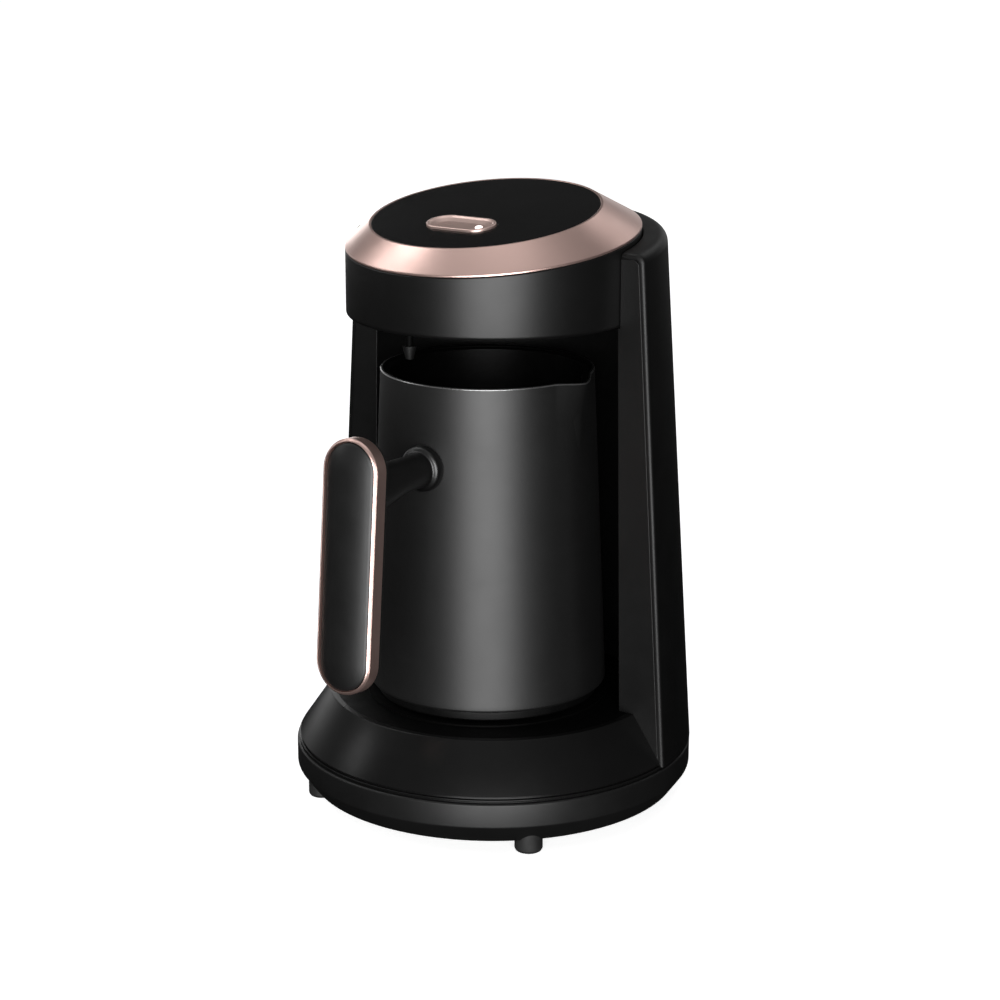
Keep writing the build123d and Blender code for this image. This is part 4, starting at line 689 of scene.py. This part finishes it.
button = stadium_grid("start_button_cap", 30.0, 15.5,
                      [(7.75, -2.2), (1.4, -2.2, 0.2), (1.4, -3.4, 0.1), (-2.1, -3.4, 0.2), (-2.1, -2.35, 0.2), (0.0, -2.35), (0.0, 0.9, 0.5), (1.0, 0.95, 0.3),
                       (1.9, 0.35, 0.8), (4.2, -0.45, 2.0), (7.75, -0.62)], pan_button, n=128, k=5, sharp=50, closed=False)
# painted light: the key wears the lighter copy of the rose gold
piece(button, "button", "rose_gold", "start_button", material=KEY_ROSE_PAINTED_LIGHT)
dot = []
prof = [(0.0, -4.5), (1.55, -4.5), (1.55, -0.35, 0.3), (1.0, 0.05, 0.5), (0.0, 0.2)]
dots = rounded([(p[0], 0, p[1], p[2] if len(p) > 2 else 0) for p in prof], False, 5)
rows = []
for t in circle_angles(40)[0]:
    rows.append([pan_button(8.2 + q.x * math.cos(t), q.x * math.sin(t), q.z) for q in dots])
piece(grid("button_light_dot", rows, close_cols=False, sharp=50), "button", "light_pipe", "button_light_pipe")


# ------------------------------------------------------------------ pot
def lip(t, r, z):
    """The pouring lip on the +X side: a shallow V drawn out of the rim, which dips a little."""
    a = math.atan2(math.sin(t), math.cos(t))
    h = (z - 164.0) / (182.2 - 164.0)
    if h <= 0:
        return r, z
    h = min(h, 1.05)
    h = h * h * (3 - 2 * h) if h < 1 else 1.0
    w = math.radians(9.0 + 9.0 * h)
    k = max(0.0, 1 - abs(a) / w)
    k = k * k * (3 - 2 * k) * (1 - 0.5 * h) + 0.5 * h * k
    return r + 3.9 * h * k, z - 1.1 * h * k


pot_profile = [(41.05, 180.2), (41.15, 182.0, 0.5), (42.0, 182.4, 0.45), (43.05, 182.2, 0.55), (pot_r(166), 166), (pot_r(150), 150),
               (pot_r(120), 120), (pot_r(80), 80), (48.6, 54.6, 0), (48.75, 51.8, 1.3), (45.4, 51.8, 0.3), (45.4, 50.95),
               (44.5, 50.95), (44.5, 53.2), (46.4, 54.4), (pot_r(120) - 2.0, 120)]
pot = lathe("pot_outer_shell", pot_profile, n=360, centre=(0, POT_Y), k=6, warp=lip)
pot.data.materials.append(M["pot_satin"])
pot.data.materials.append(EDGE)
pot.data.materials.append(PAINTED_SHADE_BLACK)
rings = len(pot.data.polygons) // 360
for k in range(rings):
    # sorted by a row on the far side of the lip
    poly = pot.data.polygons[180 * rings + k]
    c = poly.center
    far = math.hypot(c.x / MM, c.y / MM - AY - POT_Y)
    if c.z < (180.3 + AZ) * MM:
        continue
    # painted shade: faces inside the rim take the painted-shade black (index 2), which keeps the far rim dark; the
    # outer rounding takes the bare edge (index 1)
    finish = 1 if far > 42.55 and c.z > (181.0 + AZ) * MM and poly.normal.z > 0.12 else 2 if far < 42.0 else 0
    for i in range(360):
        pot.data.polygons[i * rings + k].material_index = finish
piece(pot, "pot", "pot_satin", "pot_body")

liner_profile = [(0.0, 70.8), (32.0, 70.8), (40.5, 71.0, 7.0), (39.2, 150.0, 0.0), (39.0, 167.2), (39.05, 181.2, 0.6), (41.1, 181.6),
                 (41.0, 180.4), (39.9, 180.2), (40.1, 150.0), (41.4, 70.0, 7.6), (0.0, 70.0)]
liner = lathe("pot_liner_vessel", liner_profile, n=240, centre=(0, POT_Y), k=8, warp=lip, sharp=40)
piece(liner, "pot", "liner_coat", "pot_liner")

# ------------------------------------------------------------------ handle
GT = math.radians(5.0)
G_O = Vector((0, -99.9, 121.5))
G_UP = Vector((0, math.sin(GT), math.cos(GT)))
G_N = Vector((0, -math.cos(GT), math.sin(GT)))


def grip(x, y, h):
    """x along the grip, y across it, h out of its front face."""
    return tuple(G_O + G_UP * x + Vector((-y, 0, 0)) + G_N * h)


trim = stadium_grid("grip_frame", 99.0, 25.5,
                    [(1.15, -2.6), (1.15, -0.02, 0.08), (0.62, -0.37, 0.15), (0.0, -1.08, 0.35), (0.0, -6.8, 0.5), (3.4, -6.8), (3.4, -2.6)],
                    grip, n=144, k=5, sharp=44)
piece(trim, "pot", "rose_gold", "handle_trim")


def crown(x, y, h):
    if h <= -1.2:
        return h
    fall = max(0.0, abs(x) - 35.0) / 14.0
    return h - (24.0 - math.sqrt(576.0 - y * y)) - 2.3 * fall ** 2.2


inlay = stadium_grid("grip_inlay", 95.8, 22.3,
                     [(0.0, -2.55), (0.0, 1.55, 0.5), (1.0, 1.8, 0.4), (2.5, 1.83), (4.0, 1.84), (6.0, 1.85), (8.0, 1.85), (9.6, 1.85), (11.15, 1.85)],
                     grip, n=144, k=5, sharp=50, shape=crown, closed=False)
piece(inlay, "pot", "grip_inlay", "handle_inlay")

core = stadium_grid("grip_back", 97.4, 23.9,
                    [(3.0, -6.6), (0.0, -6.85), (0.0, -8.6, 1.6), (2.2, -10.6, 1.8), (6.0, -10.6), (11.95, -10.6)],
                    grip, n=144, k=6, sharp=50, closed=False)
piece(core, "pot", "grip_core", "handle_core")


# stem: flares into the grip's back, and swells to a rounded boss on the pot
def stem_rows():
    rows = []
    n = 72
    stations = []                                   # (y, centre z, half height, half width)
    stations += [(-46.0, 149.5, 9.2, 9.2), (-48.5, 149.5, 9.2, 9.2), (-50.6, 149.5, 9.2, 9.2), (-51.6, 149.5, 8.9, 8.9),
                 (-52.2, 149.5, 8.2, 8.2), (-52.4, 149.5, 7.3, 7.2), (-52.9, 149.5, 6.95, 6.85), (-57.0, 149.5, 6.9, 6.8)]
    stations += [(-62.0, 149.45, 6.98, 6.8), (-67.0, 149.2, 7.35, 6.85), (-72.0, 148.8, 8.05, 6.95), (-77.0, 148.3, 8.95, 7.15),
                 (-82.0, 147.8, 10.1, 7.4), (-86.0, 147.4, 11.4, 7.8), (-91.0, 146.9, 13.2, 8.4)]
    for y, zc, rz, rx in stations:
        row = []
        for i in range(n):
            t = 2 * math.pi * i / n
            x, z = rx * math.cos(t), zc + rz * math.sin(t)
            if y > -47:                              # first ring lies on the pot's wall
                yy = POT_Y - math.sqrt(max(pot_r(z) ** 2 - x * x, 0)) + 0.3
            elif y < -90:                            # last ring lies inside the grip's back
                yy = -99.9 + 9.6 * math.cos(GT) - (121.5 - z) * math.tan(GT)
            else:
                yy = y
            row.append((x, yy, z))
        rows.append(row)
    return rows


stem = grid("handle_stem_arm", stem_rows(), close_rows=False, close_cols=True, cap_ends=True, sharp=60)
sub = stem.modifiers.new("smooth", "SUBSURF")
sub.levels = 2
sub.render_levels = 2
piece(stem, "pot", "stem_satin", "handle_stem")

# ------------------------------------------------------------------ floor, lights, camera
me = bpy.data.meshes.new("studio_floor")
s = 14.0
me.from_pydata([(-s, -s, 0), (s, -s, 0), (s, s, 0), (-s, s, 0)], [], [(0, 1, 2, 3)])
floor = bpy.data.objects.new("studio_floor", me)
bpy.context.scene.collection.objects.link(floor)
fm = make("floor_white", (0.80, 0.80, 0.80), rough=0.9, rough_var=0.02, spec=0.0, tint=0.003, patch=2.0, grain=60.0,
          grain_h=0.0, emission=(1.0, 1.0, 1.0), emission_strength=0.80)
me.materials.append(fm)
floor.visible_glossy = False
floor.visible_diffuse = False
floor.visible_shadow = False


def area(name, az, el, dist, w, h, power, target=(0, 0, 120), colour=(1, 1, 1), spread=180):
    a, e = math.radians(az), math.radians(el)
    d = Vector((math.sin(a) * math.cos(e), -math.cos(a) * math.cos(e), math.sin(e)))
    t = to_world(target)
    li = bpy.data.lights.new(name, "AREA")
    li.shape = "RECTANGLE"
    li.size, li.size_y = w, h
    li.energy = power
    li.color = colour
    li.spread = math.radians(spread)
    ob = bpy.data.objects.new(name, li)
    ob.location = t + d * dist
    ob.rotation_euler = (t - ob.location).to_track_quat("-Z", "Y").to_euler()
    bpy.context.scene.collection.objects.link(ob)
    return ob


area("key_strip", 33.6, 0, 1.9, 1.55, 1.5, 61)
area("left_soft", -77, 41, 1.6, 0.5, 0.5, 1.8)
area("left_low", -59, 20, 1.6, 0.3, 0.3, 1.4)
area("left_back", -132, 6, 1.8, 0.5, 0.7, 2.6)
area("left_high", -70, 54, 1.5, 0.35, 0.35, 1.6)
area("back_soft", 175, 38, 1.7, 0.8, 0.7, 1.5)

# a studio dome: dark under the horizon, dim at the sides, brighter overhead, with a pale wall low behind
world = bpy.data.worlds.new("studio")
bpy.context.scene.world = world
world.use_nodes = True
wn, wl = world.node_tree.nodes, world.node_tree.links
bg = wn["Background"]
geo = wn.new("ShaderNodeTexCoord")
sep = wn.new("ShaderNodeSeparateXYZ")
wl.new(geo.outputs["Generated"], sep.inputs[0])
dome = wn.new("ShaderNodeMapRange")
dome.inputs["From Min"].default_value = -1.0
dome.inputs["From Max"].default_value = 1.0
wl.new(sep.outputs["Z"], dome.inputs["Value"])
wr = wn.new("ShaderNodeValToRGB")
wl.new(dome.outputs["Result"], wr.inputs["Fac"])


def stop(ramp, pos, v):
    e = ramp.color_ramp.elements.new(pos)
    e.color = (v, v, v, 1)


wr.color_ramp.elements[0].position = 0.44
wr.color_ramp.elements[0].color = (0.0, 0.0, 0.0, 1)
wr.color_ramp.elements[1].position = 1.0
wr.color_ramp.elements[1].color = (1.2, 1.2, 1.2, 1)
stop(wr, 0.53, 0.17)
stop(wr, 0.86, 0.17)
stop(wr, 0.93, 0.46)
stop(wr, 0.972, 0.56)
# the pale wall: a band near the horizon, only behind the machine
back = wn.new("ShaderNodeVectorMath")
back.operation = "DOT_PRODUCT"
wl.new(geo.outputs["Generated"], back.inputs[0])
back.inputs[1].default_value = (-0.60, 0.80, 0.0)
br = wn.new("ShaderNodeMapRange")
br.interpolation_type = "SMOOTHSTEP"
br.inputs["From Min"].default_value = 0.5
br.inputs["From Max"].default_value = 0.9
wl.new(back.outputs["Value"], br.inputs["Value"])
band = wn.new("ShaderNodeValToRGB")
wl.new(dome.outputs["Result"], band.inputs["Fac"])
band.color_ramp.elements[0].position = 0.44
band.color_ramp.elements[0].color = (0.0, 0.0, 0.0, 1)
band.color_ramp.elements[1].position = 0.66
band.color_ramp.elements[1].color = (0.0, 0.0, 0.0, 1)
stop(band, 0.49, 0.85)
stop(band, 0.56, 0.85)
mul = wn.new("ShaderNodeMixRGB")
mul.blend_type = "MULTIPLY"
mul.inputs["Fac"].default_value = 1.0
wl.new(band.outputs["Color"], mul.inputs["Color1"])
wl.new(br.outputs["Result"], mul.inputs["Color2"])
add = wn.new("ShaderNodeMixRGB")
add.blend_type = "ADD"
add.inputs["Fac"].default_value = 1.0
wl.new(wr.outputs["Color"], add.inputs["Color1"])
wl.new(mul.outputs["Color"], add.inputs["Color2"])
# a black flag high behind, which keeps the top panel deep
flag = wn.new("ShaderNodeVectorMath")
flag.operation = "DOT_PRODUCT"
wl.new(geo.outputs["Generated"], flag.inputs[0])
flag.inputs[1].default_value = (-0.558, 0.714, 0.4226)
fr = wn.new("ShaderNodeMapRange")
fr.interpolation_type = "SMOOTHSTEP"
fr.inputs["From Min"].default_value = 0.86
fr.inputs["From Max"].default_value = 0.965
fr.inputs["To Min"].default_value = 1.0
fr.inputs["To Max"].default_value = 0.55
wl.new(flag.outputs["Value"], fr.inputs["Value"])
shade = wn.new("ShaderNodeMixRGB")
shade.blend_type = "MULTIPLY"
shade.inputs["Fac"].default_value = 1.0
wl.new(add.outputs["Color"], shade.inputs["Color1"])
wl.new(fr.outputs["Result"], shade.inputs["Color2"])
# the studio is darker to the right, behind the machine
dark = wn.new("ShaderNodeVectorMath")
dark.operation = "DOT_PRODUCT"
wl.new(geo.outputs["Generated"], dark.inputs[0])
dark.inputs[1].default_value = (0.83, 0.55, 0.0)
dr = wn.new("ShaderNodeMapRange")
dr.interpolation_type = "SMOOTHSTEP"
dr.inputs["From Min"].default_value = 0.1
dr.inputs["From Max"].default_value = 0.75
dr.inputs["To Min"].default_value = 1.0
dr.inputs["To Max"].default_value = 0.3
wl.new(dark.outputs["Value"], dr.inputs["Value"])
side = wn.new("ShaderNodeMixRGB")
side.blend_type = "MULTIPLY"
side.inputs["Fac"].default_value = 1.0
wl.new(shade.outputs["Color"], side.inputs["Color1"])
wl.new(dr.outputs["Result"], side.inputs["Color2"])
wl.new(side.outputs["Color"], bg.inputs["Color"])
bg.inputs["Strength"].default_value = 1.0
# the pale backdrop that is seen directly; the studio above lights the object and shows in its reflections
pale = wn.new("ShaderNodeBackground")
pale.inputs["Color"].default_value = (1.0, 1.0, 1.0, 1)
pale.inputs["Strength"].default_value = 1.0
path = wn.new("ShaderNodeLightPath")
seen = wn.new("ShaderNodeMixShader")
out = next(n for n in wn if n.type == "OUTPUT_WORLD")
wl.new(path.outputs["Is Camera Ray"], seen.inputs["Fac"])
wl.new(bg.outputs["Background"], seen.inputs[1])
wl.new(pale.outputs["Background"], seen.inputs[2])
wl.new(seen.outputs["Shader"], out.inputs["Surface"])

cam_data = bpy.data.cameras.new("camera")
cam_data.lens = 87.12
cam_data.sensor_width = 36.0
cam_data.shift_x = 0.0066
cam_data.shift_y = 0.0
cam_data.clip_start = 0.01
cam_data.clip_end = 60.0
cam = bpy.data.objects.new("camera", cam_data)
az, el, dist = math.radians(34.0), math.radians(15.367), 0.9902
target = Vector((0, AY * MM, 0.12544 + AZ * MM))
cam.location = target + Vector((math.sin(az) * math.cos(el), -math.cos(az) * math.cos(el), math.sin(el))) * dist
cam.rotation_euler = (target - cam.location).to_track_quat("-Z", "Y").to_euler()
bpy.context.scene.collection.objects.link(cam)
bpy.context.scene.camera = cam
bpy.context.scene.view_settings.view_transform = "Standard"
bpy.context.scene.view_settings.look = "None"
